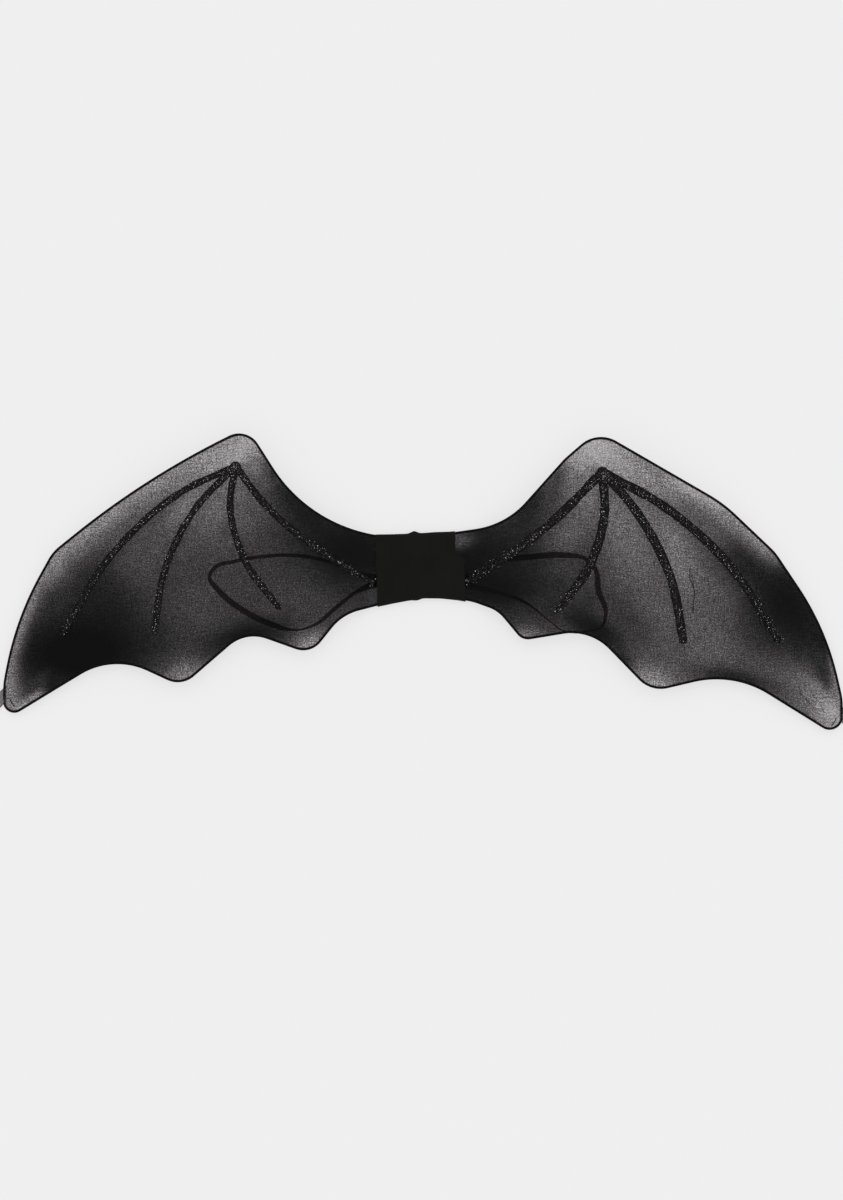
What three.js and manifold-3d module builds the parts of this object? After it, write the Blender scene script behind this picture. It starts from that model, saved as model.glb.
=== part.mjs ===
// Costume bat wings: two bent-wire wing frames, each inside a sheer knit sleeve with raised glitter
// veins on its front, held side by side by a wide knit band. Two narrow elastic arm straps come out of
// the band behind the wings, and a short ribbon loop is sewn under each wing tip.
//
// Millimetres, +Z up. The wings lie on their back: +X runs along the span, +Y towards the upper edge
// and +Z out of the front. Left and right are as seen from the front. The origin is in the middle of
// the band's back, on the surface that the wings lie on.

import * as THREE from "three";
import { mergeVertices } from "three/addons/utils/BufferGeometryUtils.js";
import Module from "manifold-3d";

const wasm = await Module();
wasm.setup();

// Air between neighbouring pieces
const CLEARANCE = 0.3;

// Wire frames
const WIRE_DIAMETER = 2;
const LEFT_REACH = 411;
const LEFT_HEIGHT = 275.5;
const RIGHT_REACH = 427;
const RIGHT_HEIGHT = 290;
const NECK_HEIGHT = 57;
const INNER_LEG_OFFSET = 4;
const INNER_LEG_RADIUS = 4;

// Knit sleeves
const KNIT_WALL = 1;
const MOUTH_OFFSET = 0.5;

// Glitter veins
const VEIN_THICKNESS = 1;
const VEIN_LIFT = 0.55;
const LEFT_VEIN_WIDTH = 7.2;
const RIGHT_VEIN_WIDTH = 8.4;

// Knit band round the middle
const BAND_WALL = 1.2;
const BAND_LEFT = 39.5;
const BAND_RIGHT = 42;
const BAND_EDGE_LEAN_LEFT = 3.5;
const BAND_EDGE_LEAN_RIGHT = 7;
const BAND_RIDGE_HEIGHT = 0.8;
const BAND_RIDGE_WIDTH = 13;
const BAND_RIDGE_AT = -1.5;

// Arm straps
const STRAP_WIDTH = 6.35;
const STRAP_THICKNESS = 1;
const STRAP_TUCK = 18;
const STRAP_LIFT = 0.05;
const LEFT_STRAP_REACH = 206;
const LEFT_STRAP_SPREAD = 76;
const LEFT_STRAP_ENTRY = -0.18;
const RIGHT_STRAP_REACH = 191;
const RIGHT_STRAP_SPREAD = 80;
const RIGHT_STRAP_ENTRY = -0.18;

// Ribbon loops at the tips
const LOOP_WIDTH = 17;
const LOOP_THICKNESS = 1;
const LOOP_LENGTH = 30;
const LOOP_HEIGHT = 12;
const LOOP_LAP = 4;
const LEFT_LOOP_SHARE = -0.478;
const RIGHT_LOOP_SHARE = -0.53;

// How the wings stand off the surface between the band and the tips
const STRAP_HEADROOM = 4.3;
const BAND_FLAT_RUN = 1.5;
const RISE_RUN = 36;
const APEX_LIFT = 8;

// Fineness of the facets
const ARC_STEP = THREE.MathUtils.degToRad(15);
const MERGE_WITHIN = 1e-4;
const SPLIT_MARGIN = 0.01;
const EDGE_STEP = 27;
const RIM_STEPS = 3;
const WIRE_SIDES = 6;
const SHEET_STATIONS = 12;
const SHEET_SPINES = [1 / 3, 2 / 3];

// What follows from the sizes above
const WIRE_RADIUS = WIRE_DIAMETER / 2;
const CAVITY_HALF = WIRE_RADIUS + CLEARANCE;
const SLEEVE_HALF = CAVITY_HALF + KNIT_WALL;
const NECK_Z = BAND_WALL + CLEARANCE + STRAP_THICKNESS + CLEARANCE + SLEEVE_HALF;
const CREST_Z = STRAP_WIDTH + STRAP_HEADROOM + SLEEVE_HALF;
const TIP_Z = 2 * LOOP_THICKNESS + 2 * CLEARANCE + SLEEVE_HALF;
const BAND_HEIGHT = NECK_Z + SLEEVE_HALF + CLEARANCE + BAND_WALL;
const BAND_MARGIN = BAND_HEIGHT / 2;

// Corners of each wire outline, walked from the neck's top along the leading edge to the tip and back.
// out is a share of the wing's reach, up and round (the bend's radius) are shares of its height.
const LEFT_CORNERS = [
  { name: "neck_top", out: 0.244, up: 0.1145, round: 0.545 },
  { name: "apex", out: 0.4088, up: 0.5005, round: 0.076 },
  { name: "leading", out: 0.66, up: 0.3125, round: 3.05 },
  { name: "shoulder", out: 0.8797, up: 0.0512, round: 0.16 },
  { name: "outer", out: 0.9688, up: -0.187, round: 1.13 },
  { name: "tip_side", out: 0.9995, up: -0.421, round: 0.22 },
  { name: "tip", out: 1.001, up: -0.553, round: 0.036 },
  { name: "crest_1", out: 0.735, up: -0.313, round: 0.265 },
  { name: "point_1", out: 0.5676, up: -0.428, round: 0.084 },
  { name: "crest_2", out: 0.412, up: -0.2276, round: 0.142 },
  { name: "point_2", out: 0.2547, up: -0.311, round: 0.076 },
  { name: "crest_3", out: 0.1787, up: -0.169, round: 0.189 },
];
const RIGHT_CORNERS = [
  { name: "neck_top", out: 0.2138, up: 0.1415, round: 0.286 },
  { name: "rise", out: 0.351, up: 0.3676, round: 0.207 },
  { name: "apex", out: 0.4265, up: 0.4638, round: 0.1 },
  { name: "leading", out: 0.72, up: 0.216, round: 0.5 },
  { name: "shoulder", out: 0.842, up: 0.047, round: 0.207 },
  { name: "outer", out: 0.9614, up: -0.2134, round: 0.93 },
  { name: "tip_side", out: 0.9995, up: -0.455, round: 0.207 },
  { name: "tip", out: 1.001, up: -0.5907, round: 0.0414 },
  { name: "crest_1", out: 0.7466, up: -0.359, round: 0.348 },
  { name: "point_1", out: 0.5534, up: -0.4255, round: 0.1 },
  { name: "crest_2", out: 0.411, up: -0.2097, round: 0.186 },
  { name: "point_2", out: 0.2532, up: -0.248, round: 0.0414 },
  { name: "crest_3", out: 0.1958, up: -0.147, round: 0.124 },
  { name: "neck_bottom", out: 0.131, up: -0.112, round: 0.207 },
];

// Each vein leaves the knuckle below the apex and runs through near and far to its end, in the same
// shares. The root vein has no end of its own: it stops at the band.
const LEFT_KNUCKLE = { out: 0.4355, up: 0.3648 };
const LEFT_VEINS = [
  { name: "leading", near: [0.6253, 0.2178], far: [0.7693, 0.0062], end: [0.8613, -0.2468] },
  { name: "outer", near: [0.5385, 0.2178], far: [0.6107, -0.0044], end: [0.6326, -0.2486] },
  { name: "inner", near: [0.4538, 0.225], far: [0.4209, 0.0316], end: [0.3246, -0.1514] },
  { name: "root", near: [0.3674, 0.2316], far: [0.2324, 0.0603], endUp: -0.0617 },
];
const RIGHT_KNUCKLE = { out: 0.4379, up: 0.3276 };
const RIGHT_VEINS = [
  { name: "leading", near: [0.5902, 0.2], far: [0.7436, -0.0117], end: [0.8595, -0.2672] },
  { name: "outer", near: [0.5286, 0.1638], far: [0.5984, -0.0307], end: [0.6314, -0.2655] },
  { name: "inner", near: [0.4426, 0.1793], far: [0.4082, 0.0038], end: [0.3302, -0.1569] },
  { name: "root", near: [0.3185, 0.1524], far: [0.2138, 0.0352], endUp: -0.0569 },
];

// Route of each arm strap between the band and back, where the entries above are shares of its spread
// too. out is the share of the way from the band's edge
// to the strap's reach, up is a share of its spread, and lean turns the strap from flat (0) on to its
// edge (90 degrees).
const LEFT_STRAP_ROUTE = [
  { out: 0.08, up: -0.1, lean: 15 },
  { out: 0.25, up: 0.05, lean: 70 },
  { out: 0.42, up: 0.14, lean: 78 },
  { out: 0.68, up: 0.14, lean: 80 },
  { out: 0.86, up: 0.07, lean: 74 },
  { out: 0.965, up: 0.0, lean: 60 },
  { out: 1.0, up: -0.12, lean: 62 },
  { out: 0.94, up: -0.32, lean: 40 },
  { out: 0.79, up: -0.58, lean: 18 },
  { out: 0.62, up: -0.76, lean: 30 },
  { out: 0.47, up: -0.83, lean: 76 },
  { out: 0.365, up: -0.76, lean: 66 },
  { out: 0.24, up: -0.54, lean: 52 },
  { out: 0.11, up: -0.32, lean: 30 },
];
const RIGHT_STRAP_ROUTE = [
  { out: 0.08, up: -0.11, lean: 8 },
  { out: 0.25, up: 0.07, lean: 25 },
  { out: 0.48, up: 0.13, lean: 30 },
  { out: 0.71, up: 0.15, lean: 30 },
  { out: 0.86, up: 0.1, lean: 72 },
  { out: 0.93, up: -0.04, lean: 62 },
  { out: 0.95, up: -0.3, lean: 40 },
  { out: 1.0, up: -0.55, lean: 66 },
  { out: 0.975, up: -0.74, lean: 78 },
  { out: 0.86, up: -0.81, lean: 78 },
  { out: 0.7, up: -0.8, lean: 80 },
  { out: 0.595, up: -0.66, lean: 84 },
  { out: 0.42, up: -0.43, lean: 66 },
  { out: 0.2, up: -0.3, lean: 25 },
];

// Side view of a tip loop: along is a share of its length out from the wire, high of its height.
const LOOP_ROUTE = [
  { along: 0.15, high: 0 },
  { along: 0.45, high: 0 },
  { along: 0.75, high: 0.02 },
  { along: 0.93, high: 0.2 },
  { along: 1.0, high: 0.5 },
  { along: 0.92, high: 0.82 },
  { along: 0.72, high: 1.0 },
  { along: 0.5, high: 0.86 },
  { along: 0.3, high: 0.5 },
];

const WIRE_BLACK = { color: 0x0d0c0d, roughness: 0.45, metalness: 0.6 };
const SHEER_KNIT = { color: 0x2b292b, roughness: 0.8, metalness: 0 };
const GLITTER_GLUE = { color: 0x161413, roughness: 0.35, metalness: 0.2 };
const BAND_KNIT = { color: 0x1b1b1a, roughness: 0.9, metalness: 0 };
const ELASTIC = { color: 0x141414, roughness: 0.75, metalness: 0 };
const RIBBON = { color: 0x3a393b, roughness: 0.5, metalness: 0 };

/** Collects corners and faces of one closed surface. */
class Skin {
  positions = [];
  faces = [];

  corner(x, y, z) {
    this.positions.push(x, y, z);
    return this.positions.length / 3 - 1;
  }

  triangle(a, b, c) {
    this.faces.push(a, b, c);
  }

  quad(a, b, c, d) {
    this.triangle(a, b, c);
    this.triangle(a, c, d);
  }

  /** Six times the enclosed volume, negative when the faces point inwards. */
  signedVolume() {
    const [a, b, c] = [new THREE.Vector3(), new THREE.Vector3(), new THREE.Vector3()];
    let sum = 0;
    for (let i = 0; i < this.faces.length; i += 3) {
      a.fromArray(this.positions, 3 * this.faces[i]);
      b.fromArray(this.positions, 3 * this.faces[i + 1]);
      c.fromArray(this.positions, 3 * this.faces[i + 2]);
      sum += a.dot(b.cross(c));
    }
    return sum;
  }

  /** The surface as a geometry whose faces point outwards. */
  geometry() {
    if (this.signedVolume() < 0) this.faces.reverse();
    const made = new THREE.BufferGeometry();
    made.setAttribute("position", new THREE.Float32BufferAttribute(this.positions, 3));
    made.setIndex(this.faces);
    return made;
  }
}

/** Skins a row of rings that all have the same number of corners. An open row gets flat end caps. */
function sweep(rings, closed = false) {
  const skin = new Skin();
  const sides = rings[0].length;
  const ids = rings.map((ring) => ring.map((p) => skin.corner(p.x, p.y, p.z)));
  const steps = closed ? rings.length : rings.length - 1;
  for (let i = 0; i < steps; i += 1) {
    const here = ids[i];
    const next = ids[(i + 1) % rings.length];
    for (let k = 0; k < sides; k += 1) {
      const l = (k + 1) % sides;
      skin.quad(here[k], next[k], next[l], here[l]);
    }
  }
  if (!closed) {
    const first = ids[0];
    const last = ids.at(-1);
    for (let k = 1; k < sides - 1; k += 1) {
      skin.triangle(first[0], first[k], first[k + 1]);
      skin.triangle(last[0], last[k + 1], last[k]);
    }
  }
  return skin.geometry();
}

/** A closed geometry as a solid that can be joined. */
function solidOf(geometry) {
  const merged = mergeVertices(geometry, MERGE_WITHIN);
  return new wasm.Manifold(
    new wasm.Mesh({
      numProp: 3,
      vertProperties: merged.attributes.position.array,
      triVerts: new Uint32Array(merged.index.array),
    }),
  );
}

/** A joined solid as a geometry. */
function geometryOf(solid) {
  const mesh = solid.getMesh();
  const made = new THREE.BufferGeometry();
  made.setAttribute("position", new THREE.BufferAttribute(Float32Array.from(mesh.vertProperties), 3));
  made.setIndex(Array.from(mesh.triVerts));
  return made;
}

/** Points after `from`, up to and including `to`, no further apart than the edge step. */
function stepsBetween(from, to) {
  const count = Math.max(1, Math.ceil(from.distanceTo(to) / EDGE_STEP));
  return Array.from({ length: count }, (_, i) => from.clone().lerp(to, (i + 1) / count));
}

/** A ring of plan points: the corners joined by straight edges and tangent arcs. */
function roundedRing(corners) {
  const bends = corners.map((corner, i) => {
    const before = corners.at(i - 1).at;
    const after = corners[(i + 1) % corners.length].at;
    const arriving = corner.at.clone().sub(before).normalize();
    const leaving = after.clone().sub(corner.at).normalize();
    const turn = Math.atan2(arriving.cross(leaving), arriving.dot(leaving));
    const setback = corner.radius * Math.tan(Math.abs(turn) / 2);
    const start = corner.at.clone().addScaledVector(arriving, -setback);
    const inward = new THREE.Vector2(-arriving.y, arriving.x).multiplyScalar(Math.sign(turn));
    const centre = start.clone().addScaledVector(inward, corner.radius);
    const length = corner.radius * Math.abs(turn);
    const count = Math.max(1, Math.ceil(Math.abs(turn) / ARC_STEP), Math.ceil(length / EDGE_STEP));
    const arc = Array.from({ length: count + 1 }, (_, k) =>
      start.clone().rotateAround(centre, (turn * k) / count),
    );
    return { name: corner.name, arc };
  });
  return bends.flatMap(({ name, arc }, i) => {
    const from = bends.at(i - 1).arc.at(-1);
    const straight = stepsBetween(from, arc[0]).slice(0, -1);
    return [
      ...straight.map((at) => ({ at, name: `to_${name}` })),
      ...arc.map((at) => ({ at, name })),
    ];
  });
}

/** The ring with a point put in wherever it crosses x. */
function splitAt(ring, x) {
  return ring.flatMap((here, i) => {
    const next = ring[(i + 1) % ring.length];
    const share = (x - here.at.x) / (next.at.x - here.at.x);
    if (!(share > SPLIT_MARGIN && share < 1 - SPLIT_MARGIN)) return [here];
    return [here, { at: here.at.clone().lerp(next.at, share), name: next.name }];
  });
}

/** Where a row of plan points, walked outwards, is at a distance from the middle. */
function heightAt(row, x) {
  const i = row.findIndex((p) => Math.abs(p.x) >= Math.abs(x));
  if (i < 1) return row[i < 0 ? row.length - 1 : 0].y;
  const [a, b] = [row[i - 1], row[i]];
  return THREE.MathUtils.mapLinear(Math.abs(x), Math.abs(a.x), Math.abs(b.x), a.y, b.y);
}

/** Height of a wing's mid-plane: on the band's stack, over the straps, and down to the tip. */
function midHeight(wing, x, y) {
  const out = Math.abs(x);
  const riseFrom = wing.bandEdge + BAND_FLAT_RUN;
  const rise = THREE.MathUtils.smoothstep(out, riseFrom, riseFrom + RISE_RUN);
  const fallFrom = wing.strapReach;
  const fall = THREE.MathUtils.clamp((out - fallFrom) / (wing.reach - fallFrom), 0, 1) ** 2;
  const base = THREE.MathUtils.lerp(NECK_Z, CREST_Z, rise);
  const lift = rise * (1 - fall) * APEX_LIFT * Math.max(0, y / wing.apexUp);
  return THREE.MathUtils.lerp(base, TIP_Z, fall) + lift;
}

/** Triangles between two rows of corner numbers that run the same way, by the shorter diagonal. */
function zip(first, second, points) {
  const faces = [];
  let [i, j] = [0, 0];
  while (i < first.length - 1 || j < second.length - 1) {
    const canFirst = i < first.length - 1;
    const canSecond = j < second.length - 1;
    const viaFirst = canFirst ? points[first[i + 1]].distanceTo(points[second[j]]) : Infinity;
    const viaSecond = canSecond ? points[first[i]].distanceTo(points[second[j + 1]]) : Infinity;
    if (viaFirst <= viaSecond) {
      faces.push([first[i], first[i + 1], second[j]]);
      i += 1;
    } else {
      faces.push([first[i], second[j + 1], second[j]]);
      j += 1;
    }
  }
  return faces.filter(([a, b, c]) => a !== b && b !== c && c !== a);
}

/** The wing's wire outline, its sleeve's edge and the taut sheet between them, in plan and in height. */
function layOutWing(wing) {
  const legX = wing.side * INNER_LEG_OFFSET;
  const mouthX = wing.side * MOUTH_OFFSET;
  const placed = wing.corners.map(({ name, out, up, round }) => ({
    name,
    at: new THREE.Vector2(wing.side * out * wing.reach, up * wing.height),
    radius: round * wing.height,
  }));
  const corners = [
    { name: "leg_top", at: new THREE.Vector2(legX, NECK_HEIGHT / 2), radius: INNER_LEG_RADIUS },
    ...placed,
    { name: "leg_bottom", at: new THREE.Vector2(legX, -NECK_HEIGHT / 2), radius: INNER_LEG_RADIUS },
  ];
  const bandX = wing.side * (wing.bandEdge + BAND_FLAT_RUN);
  const ring = splitAt(roundedRing(corners), bandX);
  const outer = ring.filter(({ name }) => !name.endsWith("leg_top") && name !== "leg_bottom");
  const toMouth = (a, b) => b.clone().lerp(a, (b.x - mouthX) / (b.x - a.x));
  const edge = [
    toMouth(corners[0].at, outer[0].at),
    ...outer.map((p) => p.at),
    toMouth(corners.at(-1).at, outer.at(-1).at),
  ];
  const tip = edge.reduce((far, p, i) => (Math.abs(p.x) > Math.abs(edge[far].x) ? i : far), 0);
  const upper = edge.slice(0, tip + 1);
  const lower = edge.slice(tip).reverse();

  const points = [...edge];
  const spines = SHEET_SPINES.map((share) => {
    const row = Array.from({ length: SHEET_STATIONS }, (_, i) => {
      const x = i ? THREE.MathUtils.lerp(bandX, edge[tip].x, (i - 1) / (SHEET_STATIONS - 1)) : mouthX;
      const y = THREE.MathUtils.lerp(heightAt(upper, x), heightAt(lower, x), share);
      points.push(new THREE.Vector2(x, y));
      return points.length - 1;
    });
    return [...row, tip];
  });
  const rows = [
    upper.map((_, i) => i),
    ...spines,
    lower.map((_, i) => edge.length - 1 - i),
  ];
  const faces = rows.slice(1).flatMap((row, i) => zip(rows[i], row, points));
  const heights = points.map((p) => midHeight(wing, p.x, p.y));
  return { wire: ring.map((p) => p.at), edge, upper, lower, rows, points, faces, heights };
}

/** Unit vectors that point out of a wing's outline at each of its points. */
function outwardNormals(path, side, closed) {
  return path.map((_, i) => {
    const before = closed ? path.at(i - 1) : path[Math.max(0, i - 1)];
    const after = closed ? path[(i + 1) % path.length] : path[Math.min(path.length - 1, i + 1)];
    const along = after.clone().sub(before).normalize();
    return new THREE.Vector2(-side * along.y, side * along.x);
  });
}

/** Height of the taut sheet's mid-plane at a plan point, read off its facets. */
function sheetHeight(layout, x, y) {
  const at = new THREE.Vector3(x, y, 0);
  const [a, b, c, share] = Array.from({ length: 4 }, () => new THREE.Vector3());
  let best = { worst: -Infinity, height: 0 };
  for (const face of layout.faces) {
    [a, b, c].forEach((corner, k) => {
      const p = layout.points[face[k]];
      corner.set(p.x, p.y, 0);
    });
    if (!THREE.Triangle.getBarycoord(at, a, b, c, share)) continue;
    const worst = Math.min(share.x, share.y, share.z);
    if (worst > best.worst) {
      const [p, q, r] = face.map((k) => layout.heights[k]);
      best = { worst, height: share.x * p + share.y * q + share.z * r };
    }
  }
  return best.height;
}

/** One bent-wire frame: a round wire that follows the outline and closes at the inner leg. */
function wireFrame(wing, layout) {
  const normals = outwardNormals(layout.wire, wing.side, true);
  const rings = layout.wire.map((at, i) => {
    const z = midHeight(wing, at.x, at.y);
    return Array.from({ length: WIRE_SIDES }, (_, k) => {
      const angle = (2 * Math.PI * k) / WIRE_SIDES;
      const out = WIRE_RADIUS * Math.cos(angle);
      return new THREE.Vector3(
        at.x + normals[i].x * out,
        at.y + normals[i].y * out,
        z + WIRE_RADIUS * Math.sin(angle),
      );
    });
  });
  return sweep(rings, true);
}

/** Adds one side of the sleeve's wall: two taut sheets and the rim round the wire between them. */
function addSleeveSkin(skin, wing, layout, half, inside) {
  const normals = outwardNormals(layout.edge, wing.side, false);
  const rim = layout.edge.map((at, i) =>
    Array.from({ length: RIM_STEPS + 1 }, (_, k) => {
      const angle = Math.PI * (k / RIM_STEPS - 0.5);
      const out = half * Math.cos(angle);
      return skin.corner(
        at.x + normals[i].x * out,
        at.y + normals[i].y * out,
        layout.heights[i] + half * Math.sin(angle),
      );
    }),
  );
  const sheet = (up) =>
    layout.points.map((p, i) =>
      i < rim.length
        ? rim[i][up > 0 ? RIM_STEPS : 0]
        : skin.corner(p.x, p.y, layout.heights[i] + up * half),
    );
  const front = sheet(1);
  const back = sheet(-1);
  const turned = (a, b, c) => (inside ? skin.triangle(a, c, b) : skin.triangle(a, b, c));
  for (const [a, b, c] of layout.faces) {
    turned(front[a], front[b], front[c]);
    turned(back[a], back[c], back[b]);
  }
  for (let i = 0; i < rim.length - 1; i += 1) {
    for (let k = 0; k < RIM_STEPS; k += 1) {
      turned(rim[i][k], rim[i + 1][k], rim[i + 1][k + 1]);
      turned(rim[i][k], rim[i + 1][k + 1], rim[i][k + 1]);
    }
  }
  const starts = layout.rows.map((row) => row[0]);
  return [
    ...starts.map((i) => front[i]),
    ...rim.at(-1).slice(1, -1).reverse(),
    ...starts.map((i) => back[i]).reverse(),
    ...rim[0].slice(1, -1),
  ];
}

/** One knit sleeve: a thin flat bag round the wire frame, open at the inner end under the band. */
function knitSleeve(wing, layout) {
  const skin = new Skin();
  const outside = addSleeveSkin(skin, wing, layout, SLEEVE_HALF, false);
  const inside = addSleeveSkin(skin, wing, layout, CAVITY_HALF, true);
  outside.forEach((a, i) => {
    const j = (i + 1) % outside.length;
    skin.quad(a, outside[j], inside[j], inside[i]);
  });
  return skin.geometry();
}

// Cross-section of a glue line: across is a share of its half width, high of its thickness.
const BEAD_SECTION = [
  { across: -1, high: 0 },
  { across: -0.92, high: 0.45 },
  { across: -0.5, high: 0.9 },
  { across: 0.5, high: 0.9 },
  { across: 0.92, high: 0.45 },
  { across: 1, high: 0 },
];
const VEIN_STATIONS = 24;
const VEIN_END_SHARE = 0.55;
const KNUCKLE_SHARE = 1.35;
const KNUCKLE_SIDES = 12;

/** One glue line along a smooth plan route, lying on the sleeve's front and narrowing to its end. */
function veinStrip(wing, layout, route) {
  const curve = new THREE.CatmullRomCurve3(
    route.map((p) => new THREE.Vector3(p.x, p.y, 0)),
    false,
    "centripetal",
  );
  const rings = Array.from({ length: VEIN_STATIONS + 1 }, (_, i) => {
    const share = i / VEIN_STATIONS;
    const at = curve.getPointAt(share);
    const along = curve.getTangentAt(share);
    const half = (wing.veinWidth / 2) * THREE.MathUtils.lerp(1, VEIN_END_SHARE, share ** 3);
    return BEAD_SECTION.map(({ across, high }) => {
      const x = at.x - along.y * across * half;
      const y = at.y + along.x * across * half;
      return new THREE.Vector3(x, y, veinBase(layout, x, y) + high * VEIN_THICKNESS);
    });
  });
  return sweep(rings);
}

/** Where the underside of a glue line lies. */
function veinBase(layout, x, y) {
  return sheetHeight(layout, x, y) + SLEEVE_HALF + VEIN_LIFT;
}

/** The low round pool of glue where a wing's veins meet. */
function knucklePool(wing, layout, knuckle) {
  const rings = BEAD_SECTION.slice(0, 3).map(({ across, high }) =>
    Array.from({ length: KNUCKLE_SIDES }, (_, k) => {
      const angle = (2 * Math.PI * k) / KNUCKLE_SIDES;
      const out = -across * KNUCKLE_SHARE * (wing.veinWidth / 2);
      const [x, y] = [knuckle.x + out * Math.cos(angle), knuckle.y + out * Math.sin(angle)];
      return new THREE.Vector3(x, y, veinBase(layout, x, y) + high * VEIN_THICKNESS);
    }),
  );
  return sweep(rings);
}

/** All the glitter glue on one wing, as one solid. */
function glitterVeins(wing, layout) {
  const place = ([out, up]) => new THREE.Vector2(wing.side * out * wing.reach, up * wing.height);
  const knuckle = place([wing.knuckle.out, wing.knuckle.up]);
  const bandStop = wing.side * (wing.bandEdge + 2 * CLEARANCE);
  const parts = wing.veins.map(({ near, far, end, endUp }) => {
    const last = end ? place(end) : new THREE.Vector2(bandStop, endUp * wing.height);
    return solidOf(veinStrip(wing, layout, [knuckle, place(near), place(far), last]));
  });
  const pool = solidOf(knucklePool(wing, layout, knuckle));
  return geometryOf(parts.reduce((all, part) => all.add(part), pool));
}

const BAND_STATIONS = [0, 0.12, 0.26, 0.38, 0.45, 0.5, 0.56, 0.63, 0.76, 0.88, 1];
const BAND_CAP_STEPS = 4;

/** How much the front of the band stands up over the wires' inner legs. */
function ridgeAt(x) {
  const off = Math.abs(x - BAND_RIDGE_AT) / (BAND_RIDGE_WIDTH / 2);
  return off < 1 ? BAND_RIDGE_HEIGHT * Math.cos((off * Math.PI) / 2) ** 2 : 0;
}

/** One loop of the band's wall, at a share of its width and inset by part of the wall. */
function bandRing(share, inset, neckTop, neckBottom) {
  const topX = THREE.MathUtils.lerp(-BAND_LEFT, BAND_RIGHT, share);
  const lean = THREE.MathUtils.lerp(BAND_EDGE_LEAN_LEFT, BAND_EDGE_LEAN_RIGHT, share);
  const bottomX = topX + lean;
  const top = neckTop(topX) + BAND_MARGIN;
  const bottom = neckBottom(bottomX) - BAND_MARGIN;
  const front = BAND_HEIGHT + ridgeAt((topX + bottomX) / 2) - inset;
  const [middle, radius] = [(front + inset) / 2, (front - inset) / 2];
  const cap = (y, from) =>
    Array.from({ length: BAND_CAP_STEPS + 1 }, (_, k) => {
      const angle = from - (Math.PI * k) / BAND_CAP_STEPS;
      return [y + radius * Math.cos(angle), middle + radius * Math.sin(angle)];
    });
  const quarter = Math.PI / 2;
  const profile = [
    ...cap(top - inset - radius, quarter),
    ...cap(bottom + inset + radius, -quarter),
  ];
  return profile.map(([y, z]) => {
    const x = THREE.MathUtils.mapLinear(y, bottom, top, bottomX, topX);
    return new THREE.Vector3(x, y, z);
  });
}

/** The knit band: an open tube round both wings' inner ends. */
function centreBand(left, right) {
  const pick = (x, row) => heightAt(x < 0 ? left[row] : right[row], x);
  const neckTop = (x) => pick(x, "upper");
  const neckBottom = (x) => pick(x, "lower");
  const ring = (share, inset) => bandRing(share, inset, neckTop, neckBottom);
  const outside = BAND_STATIONS.map((share) => ring(share, 0));
  const inside = BAND_STATIONS.map((share) => ring(share, BAND_WALL)).reverse();
  return sweep([...outside, ...inside], true);
}

const STRAP_STATIONS = 46;

/** One elastic strap: out of the band, round behind the wing on the surface, and back into the band. */
function armStrap(wing) {
  const tuckX = wing.bandEdge - STRAP_TUCK;
  const spacing = (STRAP_WIDTH + 3 * CLEARANCE) / 2;
  const middle = wing.strapEntry * wing.strapSpread;
  const inBand = BAND_WALL + CLEARANCE;
  const seat = (out, up) => ({ x: out, y: up, lean: 0, lift: inBand });
  const route = [
    seat(tuckX, middle + spacing),
    seat(wing.bandEdge, middle + spacing),
    ...wing.strapRoute.map(({ out, up, lean }) => ({
      x: THREE.MathUtils.lerp(wing.bandEdge, wing.strapReach, out),
      y: up * wing.strapSpread,
      lean,
      lift: STRAP_LIFT,
    })),
    seat(wing.bandEdge, middle - spacing),
    seat(tuckX, middle - spacing),
  ];
  const line = new THREE.CatmullRomCurve3(
    route.map((p) => new THREE.Vector3(wing.side * p.x, p.y, 0)),
    false,
    "centripetal",
  );
  const mixed = (key, t) => {
    const at = t * (route.length - 1);
    const i = Math.min(Math.floor(at), route.length - 2);
    const share = THREE.MathUtils.smootherstep(at - i, 0, 1);
    return THREE.MathUtils.lerp(route[i][key], route[i + 1][key], share);
  };
  const rings = Array.from({ length: STRAP_STATIONS + 1 }, (_, i) => {
    const t = line.getUtoTmapping(i / STRAP_STATIONS);
    const at = line.getPoint(t);
    const along = line.getTangent(t);
    const side = new THREE.Vector3(-along.y, along.x, 0).normalize();
    const lean = THREE.MathUtils.degToRad(mixed("lean", t));
    const [cos, sin] = [Math.cos(lean), Math.sin(lean)];
    const wide = side.clone().multiplyScalar(cos).setZ(sin).multiplyScalar(STRAP_WIDTH / 2);
    const thick = side.clone().multiplyScalar(-sin).setZ(cos).multiplyScalar(STRAP_THICKNESS / 2);
    at.z = mixed("lift", t) + wide.z + thick.z;
    return [
      at.clone().add(wide).add(thick),
      at.clone().sub(wide).add(thick),
      at.clone().sub(wide).sub(thick),
      at.clone().add(wide).sub(thick),
    ];
  });
  return sweep(rings);
}

const LOOP_STATIONS = 22;

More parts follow.
